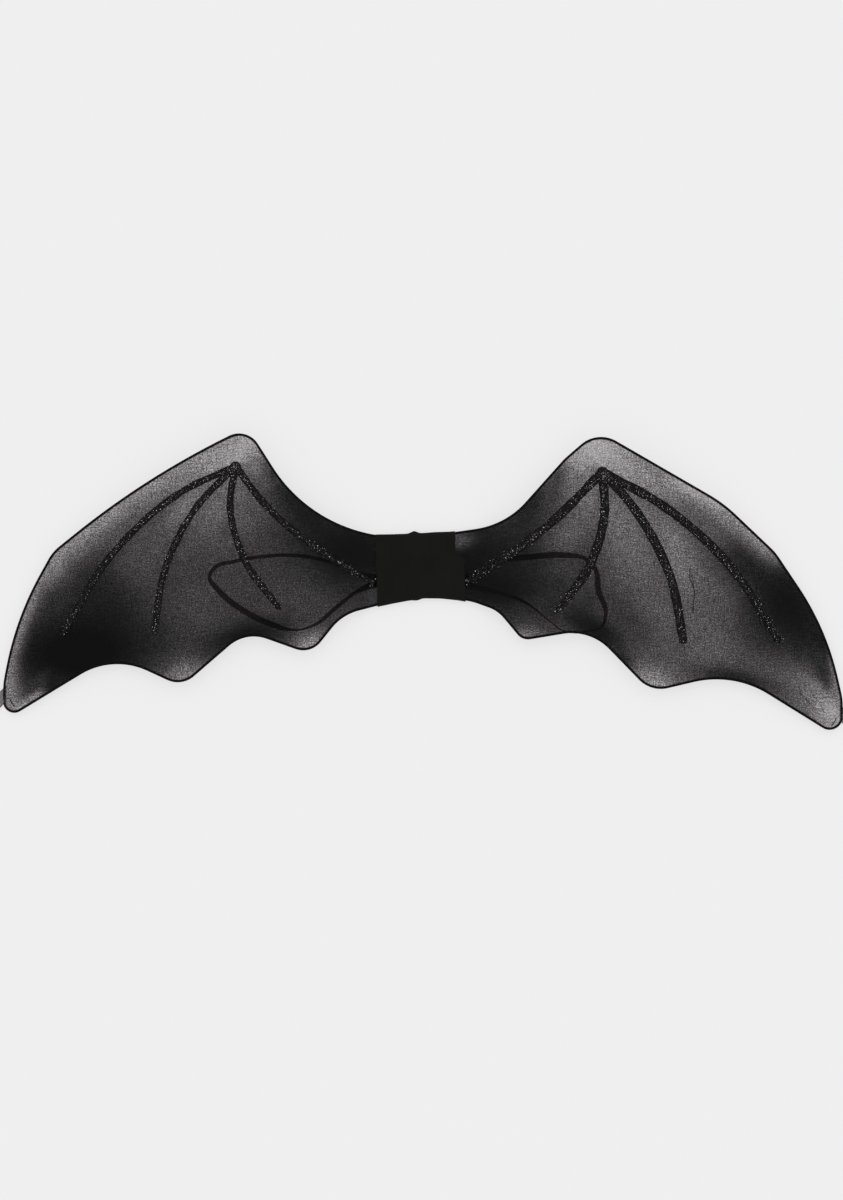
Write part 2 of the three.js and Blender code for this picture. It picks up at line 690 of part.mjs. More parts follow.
/** One ribbon loop: two ends stacked under the tip's rim, and an open teardrop outside it. */
function tipLoop(wing) {
  const lower = LOOP_THICKNESS / 2 + CLEARANCE / 2;
  const upper = lower + LOOP_THICKNESS + CLEARANCE;
  const start = -LOOP_LAP;
  const rim = SLEEVE_HALF + CLEARANCE;
  const bow = LOOP_HEIGHT - LOOP_THICKNESS;
  const route = [
    [start, lower],
    [rim, lower],
    ...LOOP_ROUTE.map(({ along, high }) => [along * LOOP_LENGTH + rim, lower + high * bow]),
    [rim, upper],
    [start, upper],
  ];
  const line = new THREE.CatmullRomCurve3(
    route.map(([out, z]) => new THREE.Vector3(out, 0, z)),
    false,
    "centripetal",
  );
  const y = wing.loopShare * wing.height;
  const rings = Array.from({ length: LOOP_STATIONS + 1 }, (_, i) => {
    const at = line.getPointAt(i / LOOP_STATIONS);
    const along = line.getTangentAt(i / LOOP_STATIONS);
    const across = [-along.z, along.x].map((v) => (v * LOOP_THICKNESS) / 2);
    const corner = (sideways, through) =>
      new THREE.Vector3(
        wing.side * (wing.reach + at.x + through * across[0]),
        y + (sideways * LOOP_WIDTH) / 2,
        at.z + through * across[1],
      );
    return [corner(1, 1), corner(-1, 1), corner(-1, -1), corner(1, -1)];
  });
  return sweep(rings);
}

/** The sizes and tables of one wing. */
function wingOf(side, sizes) {
  const bandEdge = side < 0 ? BAND_LEFT : BAND_RIGHT + BAND_EDGE_LEAN_RIGHT;
  const apex = sizes.corners.find(({ name }) => name === "apex");
  return { side, bandEdge, apexUp: apex.up * sizes.height, ...sizes };
}

const leftWing = wingOf(-1, {
  reach: LEFT_REACH,
  height: LEFT_HEIGHT,
  corners: LEFT_CORNERS,
  knuckle: LEFT_KNUCKLE,
  veins: LEFT_VEINS,
  veinWidth: LEFT_VEIN_WIDTH,
  strapReach: LEFT_STRAP_REACH,
  strapSpread: LEFT_STRAP_SPREAD,
  strapEntry: LEFT_STRAP_ENTRY,
  strapRoute: LEFT_STRAP_ROUTE,
  loopShare: LEFT_LOOP_SHARE,
});
const rightWing = wingOf(1, {
  reach: RIGHT_REACH,
  height: RIGHT_HEIGHT,
  corners: RIGHT_CORNERS,
  knuckle: RIGHT_KNUCKLE,
  veins: RIGHT_VEINS,
  veinWidth: RIGHT_VEIN_WIDTH,
  strapReach: RIGHT_STRAP_REACH,
  strapSpread: RIGHT_STRAP_SPREAD,
  strapEntry: RIGHT_STRAP_ENTRY,
  strapRoute: RIGHT_STRAP_ROUTE,
  loopShare: RIGHT_LOOP_SHARE,
});

const batWings = new THREE.Group();

function add(name, geometry, finish) {
  const mesh = new THREE.Mesh(geometry, new THREE.MeshStandardMaterial(finish));
  mesh.name = name;
  batWings.add(mesh);
}

const leftLayout = layOutWing(leftWing);
const rightLayout = layOutWing(rightWing);
for (const [hand, wing, layout] of [
  ["left", leftWing, leftLayout],
  ["right", rightWing, rightLayout],
]) {
  add(`${hand}_wing_wire`, wireFrame(wing, layout), WIRE_BLACK);
  add(`${hand}_knit_sleeve`, knitSleeve(wing, layout), SHEER_KNIT);
  add(`${hand}_glitter_veins`, glitterVeins(wing, layout), GLITTER_GLUE);
  add(`${hand}_arm_strap`, armStrap(wing), ELASTIC);
  add(`${hand}_tip_loop`, tipLoop(wing), RIBBON);
}
add("centre_band", centreBand(leftLayout, rightLayout), BAND_KNIT);

export default batWings;
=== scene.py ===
"""Looks for a pair of costume bat wings that lie on their back on a pale floor, seen from above.

Two bent-wire frames each carry a sheer stretched knit sleeve with raised veins of glitter glue. A wide
band of matt knit holds their inner ends, two narrow elastic arm straps lie behind the wings, and a short
sheer ribbon loop is sewn under each tip. Metres, +X along the span, +Y towards the upper edge, +Z out of
the front. Left and right are as seen from the front.
"""

import logging
import math
from dataclasses import dataclass, field
from enum import Enum
from typing import Any

import bpy
import numpy as np
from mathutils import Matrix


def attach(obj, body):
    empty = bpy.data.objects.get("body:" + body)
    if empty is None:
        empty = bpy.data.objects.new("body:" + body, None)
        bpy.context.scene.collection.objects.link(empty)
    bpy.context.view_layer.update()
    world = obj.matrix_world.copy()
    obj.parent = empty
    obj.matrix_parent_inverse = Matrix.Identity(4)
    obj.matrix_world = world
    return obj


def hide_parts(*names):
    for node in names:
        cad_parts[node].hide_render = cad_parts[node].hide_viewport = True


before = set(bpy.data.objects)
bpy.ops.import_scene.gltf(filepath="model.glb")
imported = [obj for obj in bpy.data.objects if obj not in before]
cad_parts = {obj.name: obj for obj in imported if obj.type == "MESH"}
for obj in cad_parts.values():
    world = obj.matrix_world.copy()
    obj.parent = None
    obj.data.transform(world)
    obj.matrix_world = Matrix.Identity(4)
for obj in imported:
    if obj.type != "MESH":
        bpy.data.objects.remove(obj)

LOG = logging.getLogger("bat_wings")
Colour = tuple[float, float, float, float]
Socket = bpy.types.NodeSocket
MM = 0.001

# Stack of layers under the band and the wire's gauge, as in the CAD part
WIRE_RADIUS = 1.0 * MM
NECK_Z = 5.1 * MM
CREST_Z = 12.95 * MM
TIP_Z = 4.9 * MM
RISE_START = 1.5 * MM
RISE_RUN = 36 * MM
APEX_LIFT = 8 * MM


class Hand(Enum):
    """Which wing, as seen from the front. The value is the sign of its X."""

    LEFT = -1
    RIGHT = 1

    @property
    def word(self) -> str:
        """The hand as a word for names."""
        return self.name.lower()


class Ends(Enum):
    """How a swept skin ends along its rows."""

    OPEN = "open"
    CAPPED = "capped"
    JOINED = "joined"


def linear(colour: str) -> Colour:
    """Turns an sRGB hex colour into linear light.

    Args:
        colour: Six hex digits with a leading hash.

    Returns:
        Linear red, green, blue and an alpha of 1.
    """
    parts = np.array([int(colour[i : i + 2], 16) for i in (1, 3, 5)]) / 255
    flat = np.where(parts <= 0.04045, parts / 12.92, ((parts + 0.055) / 1.055) ** 2.4)
    return (*(float(v) for v in flat), 1.0)


class Recipe:
    """A material while its shader nodes are put together, from textures to surface."""

    def __init__(self, name: str) -> None:
        """Starts a material that is named after its real substance."""
        self.material = bpy.data.materials.new(name)
        self.material.use_nodes = True
        self.tree = self.material.node_tree
        self.tree.nodes.clear()

    def add(self, kind: str, inputs: dict[str | int, Any], output: str | int = 0) -> Socket:
        """Adds one shader node.

        Args:
            kind: Node type without the ShaderNode prefix.
            inputs: Values or sockets by input name or number, or values by node attribute.
            output: Which of its outputs to hand on.

        Returns:
            The node's output socket.
        """
        node = self.tree.nodes.new(f"ShaderNode{kind}")
        for key, value in inputs.items():
            if isinstance(value, Socket):
                self.tree.links.new(value, node.inputs[key])
            elif isinstance(key, int) or key in node.inputs:
                node.inputs[key].default_value = value
            else:
                setattr(node, key, value)
        return node.outputs[output]

    def place(self) -> Socket:
        """Where on its object a point lies, in metres."""
        return self.add("TexCoord", {}, "Object")

    def value(self, name: str, output: str = "Fac") -> Socket:
        """What the mesh says at each point under a name."""
        return self.add("Attribute", {"attribute_name": name}, output)

    def noise(self, size: float, place: Socket, detail: float = 2.0) -> Socket:
        """Noise with features of one size in metres."""
        return self.add("TexNoise", {"Scale": 1 / size, "Detail": detail, "Vector": place})

    def math(self, operation: str, *values: Socket | float) -> Socket:
        """One sum of sockets and numbers."""
        return self.add("Math", {"operation": operation, **dict(enumerate(values))})

    def bump(self, height: Socket, strength: float, depth: float) -> Socket:
        """The normal of a surface that is as uneven as height says, depth deep."""
        return self.add("Bump", {"Strength": strength, "Distance": depth, "Height": height})

    def blend(self, share: Socket, none: str, full: str) -> Socket:
        """One colour where the share is 0 and another where it is 1."""
        inputs = {"data_type": "RGBA", 0: share, 6: linear(none), 7: linear(full)}
        return self.add("Mix", inputs, 2)

    def spread(
        self, value: Socket, start: tuple[float, float], to: tuple[float, float], clamp: bool = True
    ) -> Socket:
        """Moves one range of numbers onto another.

        Args:
            value: The number.
            start: Ends of its range.
            to: Ends of the new range.
            clamp: Whether it stays inside.

        Returns:
            The new number.
        """
        ends = {"From Min": start[0], "From Max": start[1], "To Min": to[0], "To Max": to[1]}
        return self.add("MapRange", {**ends, "clamp": clamp, "Value": value})

    def finish(
        self, colour: Colour | Socket, roughness: float, shine: float, more: dict[str, Any]
    ) -> bpy.types.Material:
        """Ends the recipe with its surface.

        Args:
            colour: Linear base colour.
            roughness: How matt it is.
            shine: How much it mirrors.
            more: Other inputs of the surface.

        Returns:
            The material.
        """
        even = {"Base Color": colour, "Roughness": roughness, "Specular IOR Level": shine}
        surface = self.add("BsdfPrincipled", {**even, **more})
        output = self.tree.nodes.new("ShaderNodeOutputMaterial")
        self.tree.links.new(surface, output.inputs["Surface"])
        return self.material


def unit(vectors: np.ndarray) -> np.ndarray:
    """Each vector over its own length.

    Args:
        vectors: Vectors in the last axis.

    Returns:
        The same vectors, one long.
    """
    return vectors / np.maximum(np.linalg.norm(vectors, axis=-1, keepdims=True), 1e-12)


def smooth(x: np.ndarray, low: float, high: float) -> np.ndarray:
    """Smooth step: 3t^2 - 2t^3 of the clamped share t of the way from low to high.

    Args:
        x: Values.
        low: Where the step starts.
        high: Where the step ends.

    Returns:
        Shares from 0 to 1.
    """
    t = np.clip((x - low) / (high - low), 0, 1)
    return t * t * (3 - 2 * t)


def resample(path: np.ndarray, count: int) -> np.ndarray:
    """Points at equal steps of arc length along a polyline.

    Args:
        path: Points of the polyline, one row each.
        count: How many points to return.

    Returns:
        The evenly spaced points, both ends kept.
    """
    run = np.concatenate([[0], np.cumsum(np.linalg.norm(np.diff(path, axis=0), axis=1))])
    wanted = np.linspace(0, run[-1], count)
    return np.stack([np.interp(wanted, run, path[:, k]) for k in range(path.shape[1])], axis=1)


def smooth_curve(knots: np.ndarray, count: int) -> np.ndarray:
    """A smooth curve through knots: cubic Hermite pieces over chord length, then evened out.

    Args:
        knots: Points to pass through, one row each, of any width.
        count: How many points to return.

    Returns:
        The evenly spaced curve points.
    """
    run = np.concatenate([[0], np.cumsum(np.linalg.norm(np.diff(knots[:, :2], axis=0), axis=1))])
    slope = np.gradient(knots, run, axis=0)
    wanted = np.linspace(0, run[-1], 12 * count)
    i = np.clip(np.searchsorted(run, wanted, side="right") - 1, 0, len(run) - 2)
    step = (run[i + 1] - run[i])[:, None]
    t = ((wanted - run[i])[:, None]) / step
    curve = (
        (2 * t**3 - 3 * t**2 + 1) * knots[i]
        + (t**3 - 2 * t**2 + t) * step * slope[i]
        + (3 * t**2 - 2 * t**3) * knots[i + 1]
        + (t**3 - t**2) * step * slope[i + 1]
    )
    return resample(curve, count)


def side_normals(path: np.ndarray, closed: bool = False) -> np.ndarray:
    """Unit vectors square to a plan path: its direction turned a quarter turn to the left.

    Args:
        path: Plan points, one row each.
        closed: Whether the last point leads back to the first.

    Returns:
        One unit vector a point.
    """
    ahead = np.roll(path, -1, axis=0) - np.roll(path, 1, axis=0)
    if not closed:
        ahead[0] = path[1] - path[0]
        ahead[-1] = path[-1] - path[-2]
    ahead = unit(ahead)
    return np.stack([-ahead[:, 1], ahead[:, 0]], axis=1)


def tube(
    plan: np.ndarray, high: np.ndarray, side: np.ndarray, radius: np.ndarray | float, angle: np.ndarray
) -> np.ndarray:
    """Round sections along a line: centre + r cos(a) sideways + r sin(a) up.

    Args:
        plan: Plan points of the line.
        high: Its heights.
        side: Unit vectors across it.
        radius: One radius, or one a point.
        angle: Angles of a section's points.

    Returns:
        Points by angles by 3.
    """
    reach = np.broadcast_to(radius, len(plan))[:, None]
    over = plan[:, None] + side[:, None] * (reach * np.cos(angle))[..., None]
    return np.concatenate([over, (high[:, None] + reach * np.sin(angle))[..., None]], axis=-1)


def rounded_outline(corners: np.ndarray, radii: np.ndarray, samples: int) -> np.ndarray:
    """Rounds the corners of a closed plan polygon with arcs that touch both of its sides.

    An arc starts radius x tan(half the turn) before its corner, and turns about a centre that is one
    radius to the inside.

    Args:
        corners: Corner points in order, one row each.
        radii: Radius of each corner's arc.
        samples: Points on each arc.

    Returns:
        Arc points, corners by samples by 2.
    """
    arriving = unit(corners - np.roll(corners, 1, axis=0))
    leaving = unit(np.roll(corners, -1, axis=0) - corners)
    cross = arriving[:, 0] * leaving[:, 1] - arriving[:, 1] * leaving[:, 0]
    turn = np.arctan2(cross, np.sum(arriving * leaving, axis=1))
    start = corners - arriving * (radii * np.tan(np.abs(turn) / 2))[:, None]
    inward = np.stack([-arriving[:, 1], arriving[:, 0]], axis=1) * np.sign(turn)[:, None]
    centre = start + inward * radii[:, None]
    angle = turn[:, None] * np.linspace(0, 1, samples)[None, :]
    arm = (start - centre)[:, None, :]
    turned = np.stack(
        [
            arm[..., 0] * np.cos(angle) - arm[..., 1] * np.sin(angle),
            arm[..., 0] * np.sin(angle) + arm[..., 1] * np.cos(angle),
        ],
        axis=-1,
    )
    return centre[:, None, :] + turned


def skin(
    name: str,
    points: np.ndarray,
    ends: Ends,
    material: bpy.types.Material,
    attributes: dict[str, np.ndarray] | None = None,
) -> bpy.types.Object:
    """Puts a grid of points, closed round its second axis, into a smooth mesh that faces outwards.

    The faces join each point to its neighbours in the next row and column. Their enclosed volume, the sum
    of a . (b x c) over them, tells whether they face outwards.

    Args:
        name: Name of the piece.
        points: Rows by columns by 3.
        ends: What happens before the first and after the last row.
        material: Its finish.
        attributes: One number a point, by name.

    Returns:
        The new object, at the origin.
    """
    rows, columns = points.shape[:2]
    index = np.arange(rows * columns).reshape(rows, columns)
    beside = np.roll(index, -1, axis=1)
    if ends is Ends.JOINED:
        here, side = index, beside
        after, corner = np.roll(index, -1, axis=0), np.roll(beside, -1, axis=0)
    else:
        here, side, after, corner = index[:-1], beside[:-1], index[1:], beside[1:]
    quads = np.stack([here, side, corner, after], axis=-1).reshape(-1, 4)
    flat = points.reshape(-1, 3)
    a, b, c, d = (flat[quads[:, k]] for k in range(4))
    volume = np.sum(a * np.cross(b, c)) + np.sum(a * np.cross(c, d))
    faces = quads.tolist()
    if ends is Ends.CAPPED:
        faces += [index[0, ::-1].tolist(), index[-1].tolist()]
    if volume < 0:
        faces = [face[::-1] for face in faces]
    return finish_mesh(name, flat, faces, material, attributes)


def finish_mesh(
    name: str,
    points: np.ndarray,
    faces: list[list[int]],
    material: bpy.types.Material,
    attributes: dict[str, np.ndarray] | None = None,
    shade_smooth: bool = True,
) -> bpy.types.Object:
    """Makes one object from points and faces, with its finish and point attributes.

    Args:
        name: Name of the piece.
        points: One row a point.
        faces: Corner numbers of each face.
        material: Its finish.
        attributes: One number or three numbers a point, by name.
        shade_smooth: Whether its facets are shaded as one surface.

    Returns:
        The new object, at the origin.
    """
    mesh = bpy.data.meshes.new(name)
    mesh.from_pydata(points.tolist(), [], faces)
    for key, values in (attributes or {}).items():
        flat = np.ascontiguousarray(values, dtype=np.float32).ravel()
        wide = flat.size == 3 * len(points)
        layer = mesh.attributes.new(key, "FLOAT_VECTOR" if wide else "FLOAT", "POINT")
        layer.data.foreach_set("vector" if wide else "value", flat)
    mesh.polygons.foreach_set("use_smooth", np.full(len(mesh.polygons), shade_smooth))
    mesh.materials.append(material)
    mesh.update()
    made = bpy.data.objects.new(name, mesh)
    bpy.context.scene.collection.objects.link(made)
    return made


@dataclass(frozen=True)
class EvenFinish:
    """A material of one colour with a fine noise in its surface, and a glow if it is lit from behind."""

    name: str
    colour: str
    roughness: float
    shine: float
    grain: float
    grain_depth: float
    strength: float = 1.0
    detail: float = 2.0
    glow: float = 0.0

    def make(self) -> bpy.types.Material:
        """Builds the material."""
        mix = Recipe(self.name)
        grain = mix.noise(self.grain, mix.place(), self.detail)
        more = {"Normal": mix.bump(grain, self.strength, self.grain_depth)}
        more |= {"Emission Color": (1.0, 1.0, 1.0, 1.0), "Emission Strength": self.glow}
        return mix.finish(linear(self.colour), self.roughness, self.shine, more)


WIRE = EvenFinish("steel wire, baked black coating", "#070607", 0.42, 0.2, 0.5 * MM, 0.05 * MM, 0.15, 1.0)
THREAD = EvenFinish("sewing thread, spun polyester", "#0c0b0c", 0.8, 0.1, 0.4 * MM, 0.05 * MM)
FLOOR = EvenFinish(
    "opal acrylic sheet, matt, lit from below", "#808080", 0.9, 0.0, 1.1 * MM, 0.05 * MM, 0.05, glow=0.65
)


@dataclass(frozen=True)
class StretchedKnit:
    """Sheer stocking nylon pulled over wire: how much light it stops depends on how far it is pulled.

    The attribute cover says how much of the light one layer stops. A slow mottle, a grain of loops and
    threads along and across the wing vary it in proportion to 1 - cover, the part still open, and less
    where the knit is pulled so far that its loops are even.
    """

    gathered: str = "#0e0d0e"
    pulled: str = "#513f46"
    pale_from: tuple[float, float] = (0.2, 0.85)
    mottle: float = 34 * MM
    mottle_depth: float = 0.06
    grain: float = 1.25 * MM
    grain_depth: float = 0.62
    thread: float = 1.7 * MM
    thread_depth: float = 0.17
    thread_stretch: float = 0.18
    noise_span: tuple[float, float] = (0.25, 0.75)
    loosening: tuple[float, float] = (0.34, 0.5)
    unevenness: tuple[float, float] = (0.45, 1.15)
    least: float = 0.02
    roughness: float = 0.8
    shine: float = 0.04

    def make(self) -> bpy.types.Material:
        """Builds the material."""
        mix = Recipe("nylon stocking knit, stretched sheer")
        place, cover = mix.place(), mix.value("cover")
        # Loops and threads are about 0.3 mm, too fine to show, so they are drawn at 1.25 and 1.7 mm. Both
        # layers share one pattern, seen from the front
        swing: Socket | float = 0.0
        for size, depth, stretch in (
            (self.mottle, self.mottle_depth, (1.0, 1.0, 0.0)),
            (self.grain, self.grain_depth, (1.0, 1.0, 0.0)),
            (self.thread, self.thread_depth, (self.thread_stretch, 1.0, 0.0)),
            (self.thread, self.thread_depth, (1.0, self.thread_stretch, 0.0)),
        ):
            drawn = mix.add("Mapping", {"Scale": stretch, "Vector": place})
            part = mix.spread(mix.noise(size, drawn, 1.0), self.noise_span, (-depth, depth), clamp=False)
            swing = mix.math("ADD", swing, part)
        uneven = mix.spread(cover, self.loosening, self.unevenness)
        share = mix.math("MULTIPLY", mix.math("SUBTRACT", 1.0, cover), uneven)
        opacity = mix.math("MULTIPLY_ADD", swing, share, cover)
        clamped = mix.add("Clamp", {"Min": self.least, "Max": 1.0, "Value": opacity})
        colour = mix.blend(mix.spread(cover, self.pale_from, (0.0, 1.0)), self.pulled, self.gathered)
        return mix.finish(colour, self.roughness, self.shine, {"Alpha": clamped})


@dataclass(frozen=True)
class GlitterGlue:
    """Black glitter glue drawn from a nozzle: lumpy, half glossy, broken where the line runs dry.

    The attribute wet is 1 where the line is full and falls to 0 at its edges and dry ends. A noise eats
    the glue away where it is above wet.
    """

    colour: str = "#080607"
    lump: float = 1.6 * MM
    lump_depth: float = 0.4 * MM
    lump_strength: float = 0.8
    crumb: float = 1.7 * MM
    crumb_edge: float = 0.06
    roughness: float = 0.6
    shine: float = 0.1

    def make(self) -> bpy.types.Material:
        """Builds the material."""
        mix = Recipe("glitter glue, black, drawn by nozzle")
        place = mix.place()
        normal = mix.bump(mix.noise(self.lump, place), self.lump_strength, self.lump_depth)
        spare = mix.math("SUBTRACT", mix.value("wet"), mix.noise(self.crumb, place))
        solid = mix.spread(spare, (-self.crumb_edge, self.crumb_edge), (0.0, 1.0))
        more = {"Normal": normal, "Alpha": solid}
        return mix.finish(linear(self.colour), self.roughness, self.shine, more)


@dataclass(frozen=True)
class GlitterFlake:
    """Cut film glitter: flat metallised hexagons that flash when they face the light."""

    roughness: float = 0.32
    shine: float = 0.5
    metal: float = 0.85

    def make(self) -> bpy.types.Material:
        """Builds the material."""
        mix = Recipe("polyester film glitter, metallised and cut")
        tint = mix.value("tint", "Color")
        return mix.finish(tint, self.roughness, self.shine, {"Metallic": self.metal})


@dataclass(frozen=True)
class WrappedKnit:
    """Matt black jersey knit, pulled tight in turns: no shine, fine ribs and a little fuzz."""

    dark: str = "#131312"
    pale: str = "#1a1a18"
    rib: float = 1.3 * MM
    rib_depth: float = 0.15 * MM
    rib_strength: float = 0.5
    rib_waver: float = 1.2
    patch: float = 22 * MM
    roughness: float = 0.95
    shine: float = 0.03
    fuzz: float = 0.03

    def make(self) -> bpy.types.Material:
        """Builds the material."""
        mix = Recipe("cotton jersey knit, matt black")
        place = mix.place()
        # Ribs of the knit are about 0.8 mm, drawn at 1.3 mm so that they show. A wave is 10 pi / scale long
        wave = {"bands_direction": "X", "Scale": math.pi / (10 * self.rib), "Distortion": self.rib_waver}
        rib = mix.add("TexWave", {**wave, "Vector": place})
        colour = mix.blend(mix.noise(self.patch, place, 4.0), self.dark, self.pale)
        normal = mix.bump(rib, self.rib_strength, self.rib_depth)
        return mix.finish(colour, self.roughness, self.shine, {"Sheen Weight": self.fuzz, "Normal": normal})


@dataclass(frozen=True)
class WovenElastic:
    """Narrow braided elastic: cross ribs where the rubber cores pull the yarn in."""

    colour: str = "#0e0e0e"
    rib: float = 1.1 * MM
    rib_depth: float = 0.2 * MM
    rib_strength: float = 0.7
    roughness: float = 0.8
    shine: float = 0.1

    def make(self) -> bpy.types.Material:
        """Builds the material."""
        mix = Recipe("braided elastic, black")
        rib = mix.math("SINE", mix.math("MULTIPLY", mix.value("along"), 2 * math.pi / self.rib))
        normal = mix.bump(rib, self.rib_strength, self.rib_depth)
        return mix.finish(linear(self.colour), self.roughness, self.shine, {"Normal": normal})


@dataclass(frozen=True)
class SheerRibbon:
    """Sheer organza ribbon with a denser woven edge: grey where it is single, dark at the edges."""

    thread: str = "#5c5a5d"
    weave: float = 1.2 * MM
    weave_depth: float = 0.05
    noise_span: tuple[float, float] = (0.25, 0.75)
    roughness: float = 0.6
    shine: float = 0.1

    def make(self) -> bpy.types.Material:
        """Builds the material."""
        mix = Recipe("organza ribbon, sheer black")
        weave = mix.noise(self.weave, mix.place(), 1.0)
        swing = mix.spread(weave, self.noise_span, (-self.weave_depth, self.weave_depth))
        sum_up = {"operation": "ADD", "use_clamp": True, 0: mix.value("cover"), 1: swing}
        more = {"Alpha": mix.add("Math", sum_up)}
        return mix.finish(linear(self.thread), self.roughness, self.shine, more)


@dataclass(frozen=True)
class Corner:
    """A corner of a wire outline: out is a share of the reach, up and round are shares of the height."""

    name: str
    out: float
    up: float
    round: float


@dataclass(frozen=True)
class Zone:
    """A patch of knit that is pulled more or less than the rest, by its grey on the pale floor.

    Its middle and its half sizes along and across are in mm, its turn in degrees and its grey 0 to 255.
    """

    name: str
    x: float
    y: float
    along: float
    across: float
    turn: float
    grey: float


@dataclass(frozen=True)
class Rim:
    """A pale strip inside the upper edge, between two shares of its length, with its width in mm."""

    name: str
    start: float
    stop: float
    width: float
    grey: float


@dataclass(frozen=True)
class Vein:
    """One glue line from the knuckle. Places are shares of reach and height.

    dry is the share of its length from which the glue runs out, and fill what is left of it at the end.
    """

    name: str
    near: tuple[float, float]
    far: tuple[float, float]
    end: tuple[float, float]
    dry: float
    fill: float


@dataclass(frozen=True)
class StrapPoint:
    """A place on an arm strap: shares out from the band and of the spread up, and its lean in degrees."""

    out: float
    up: float
    lean: float


@dataclass
class WingShape:
    """Sizes and outline of one wing, shared by its wire, knit, veins and straps."""

    hand: Hand
    reach: float
    height: float
    band_edge: float
    strap_reach: float
    corners: tuple[Corner, ...]
    neck_height: float = 57 * MM
    leg_offset: float = 4 * MM
    leg_radius: float = 4 * MM
    mouth: float = 0.5 * MM
    arc_samples: int = 28
    ring: np.ndarray = field(init=False)
    upper: np.ndarray = field(init=False)
    lower: np.ndarray = field(init=False)
    apex_up: float = field(init=False)

    def __post_init__(self) -> None:
        """Works out the closed wire ring and the upper and lower edges from the corners."""
        side = self.hand.value
        leg = side * self.leg_offset
        places = [(leg, self.neck_height / 2)]
        places += [(side * c.out * self.reach, c.up * self.height) for c in self.corners]
        places += [(leg, -self.neck_height / 2)]
        radii = [self.leg_radius, *(c.round * self.height for c in self.corners), self.leg_radius]
        corners = np.array(places)
        arcs = rounded_outline(corners, np.array(radii), self.arc_samples)
        self.ring = np.concatenate([arcs.reshape(-1, 2), arcs[0, :1]])
        self.apex_up = next(c.up for c in self.corners if c.name == "apex") * self.height
        edge = arcs[1:-1].reshape(-1, 2)
        first, last = self._mouth(corners[0], edge[0]), self._mouth(corners[-1], edge[-1])
        edge = np.concatenate([[first], edge, [last]])
        tip = int(np.argmax(np.abs(edge[:, 0])))
        self.upper = edge[: tip + 1]
        self.lower = edge[tip:][::-1]

    def _mouth(self, corner: np.ndarray, bend: np.ndarray) -> np.ndarray:
        """The point of the line from bend through corner at the sleeve's mouth.

        Args:
            corner: The leg's corner.
            bend: The first bend outside the band.

        Returns:
            A plan point.
        """
        x = self.hand.value * self.mouth
        share = (x - bend[0]) / (corner[0] - bend[0])
        return bend + share * (corner - bend)

    def mid_height(self, place: np.ndarray) -> np.ndarray:
        """Height of the wing's middle plane over the floor.

        It is flat under the band, rises by a smooth step over the straps, and falls to the tip with the
        square of the way past the straps. Towards the apex it lifts in proportion to Y.

        Args:
            place: Plan points, X and Y in the last axis.

        Returns:
            One height a point.
        """
        out = np.abs(place[..., 0])
        start = self.band_edge + RISE_START
        rise = smooth(out, start, start + RISE_RUN)
        fall = np.clip((out - self.strap_reach) / (self.reach - self.strap_reach), 0, 1) ** 2
        base = NECK_Z + (CREST_Z - NECK_Z) * rise
        lift = rise * (1 - fall) * APEX_LIFT * np.maximum(0, place[..., 1] / self.apex_up)
        return base + (TIP_Z - base) * fall + lift

    def place(self, out: float, up: float) -> tuple[float, float]:
        """Plan point at shares of the reach and of the height."""
        return (self.hand.value * out * self.reach, up * self.height)


@dataclass
class OutlineWire:
    """The round wire frame of one wing, closed by a leg beside the middle."""

    shape: WingShape
    steps: int = 900
    sides: int = 12

    def build(self, material: bpy.types.Material) -> bpy.types.Object:
        """Carries a circle along the outline: centre + r cos(a) outwards + r sin(a) upwards.

        Args:
            material: The coated wire.

        Returns:
            The wire.
        """
        path = resample(self.shape.ring, self.steps + 1)[:-1]
        normal = side_normals(path, closed=True)
        angle = np.linspace(0, 2 * np.pi, self.sides, endpoint=False)
        points = tube(path, self.shape.mid_height(path), normal, WIRE_RADIUS, angle)
        name = f"{self.shape.hand.word}_outline_wire"
        made = skin(name, points, Ends.JOINED, material)
        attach(made, "root")
        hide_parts(f"{self.shape.hand.word}_wing_wire")
        return made


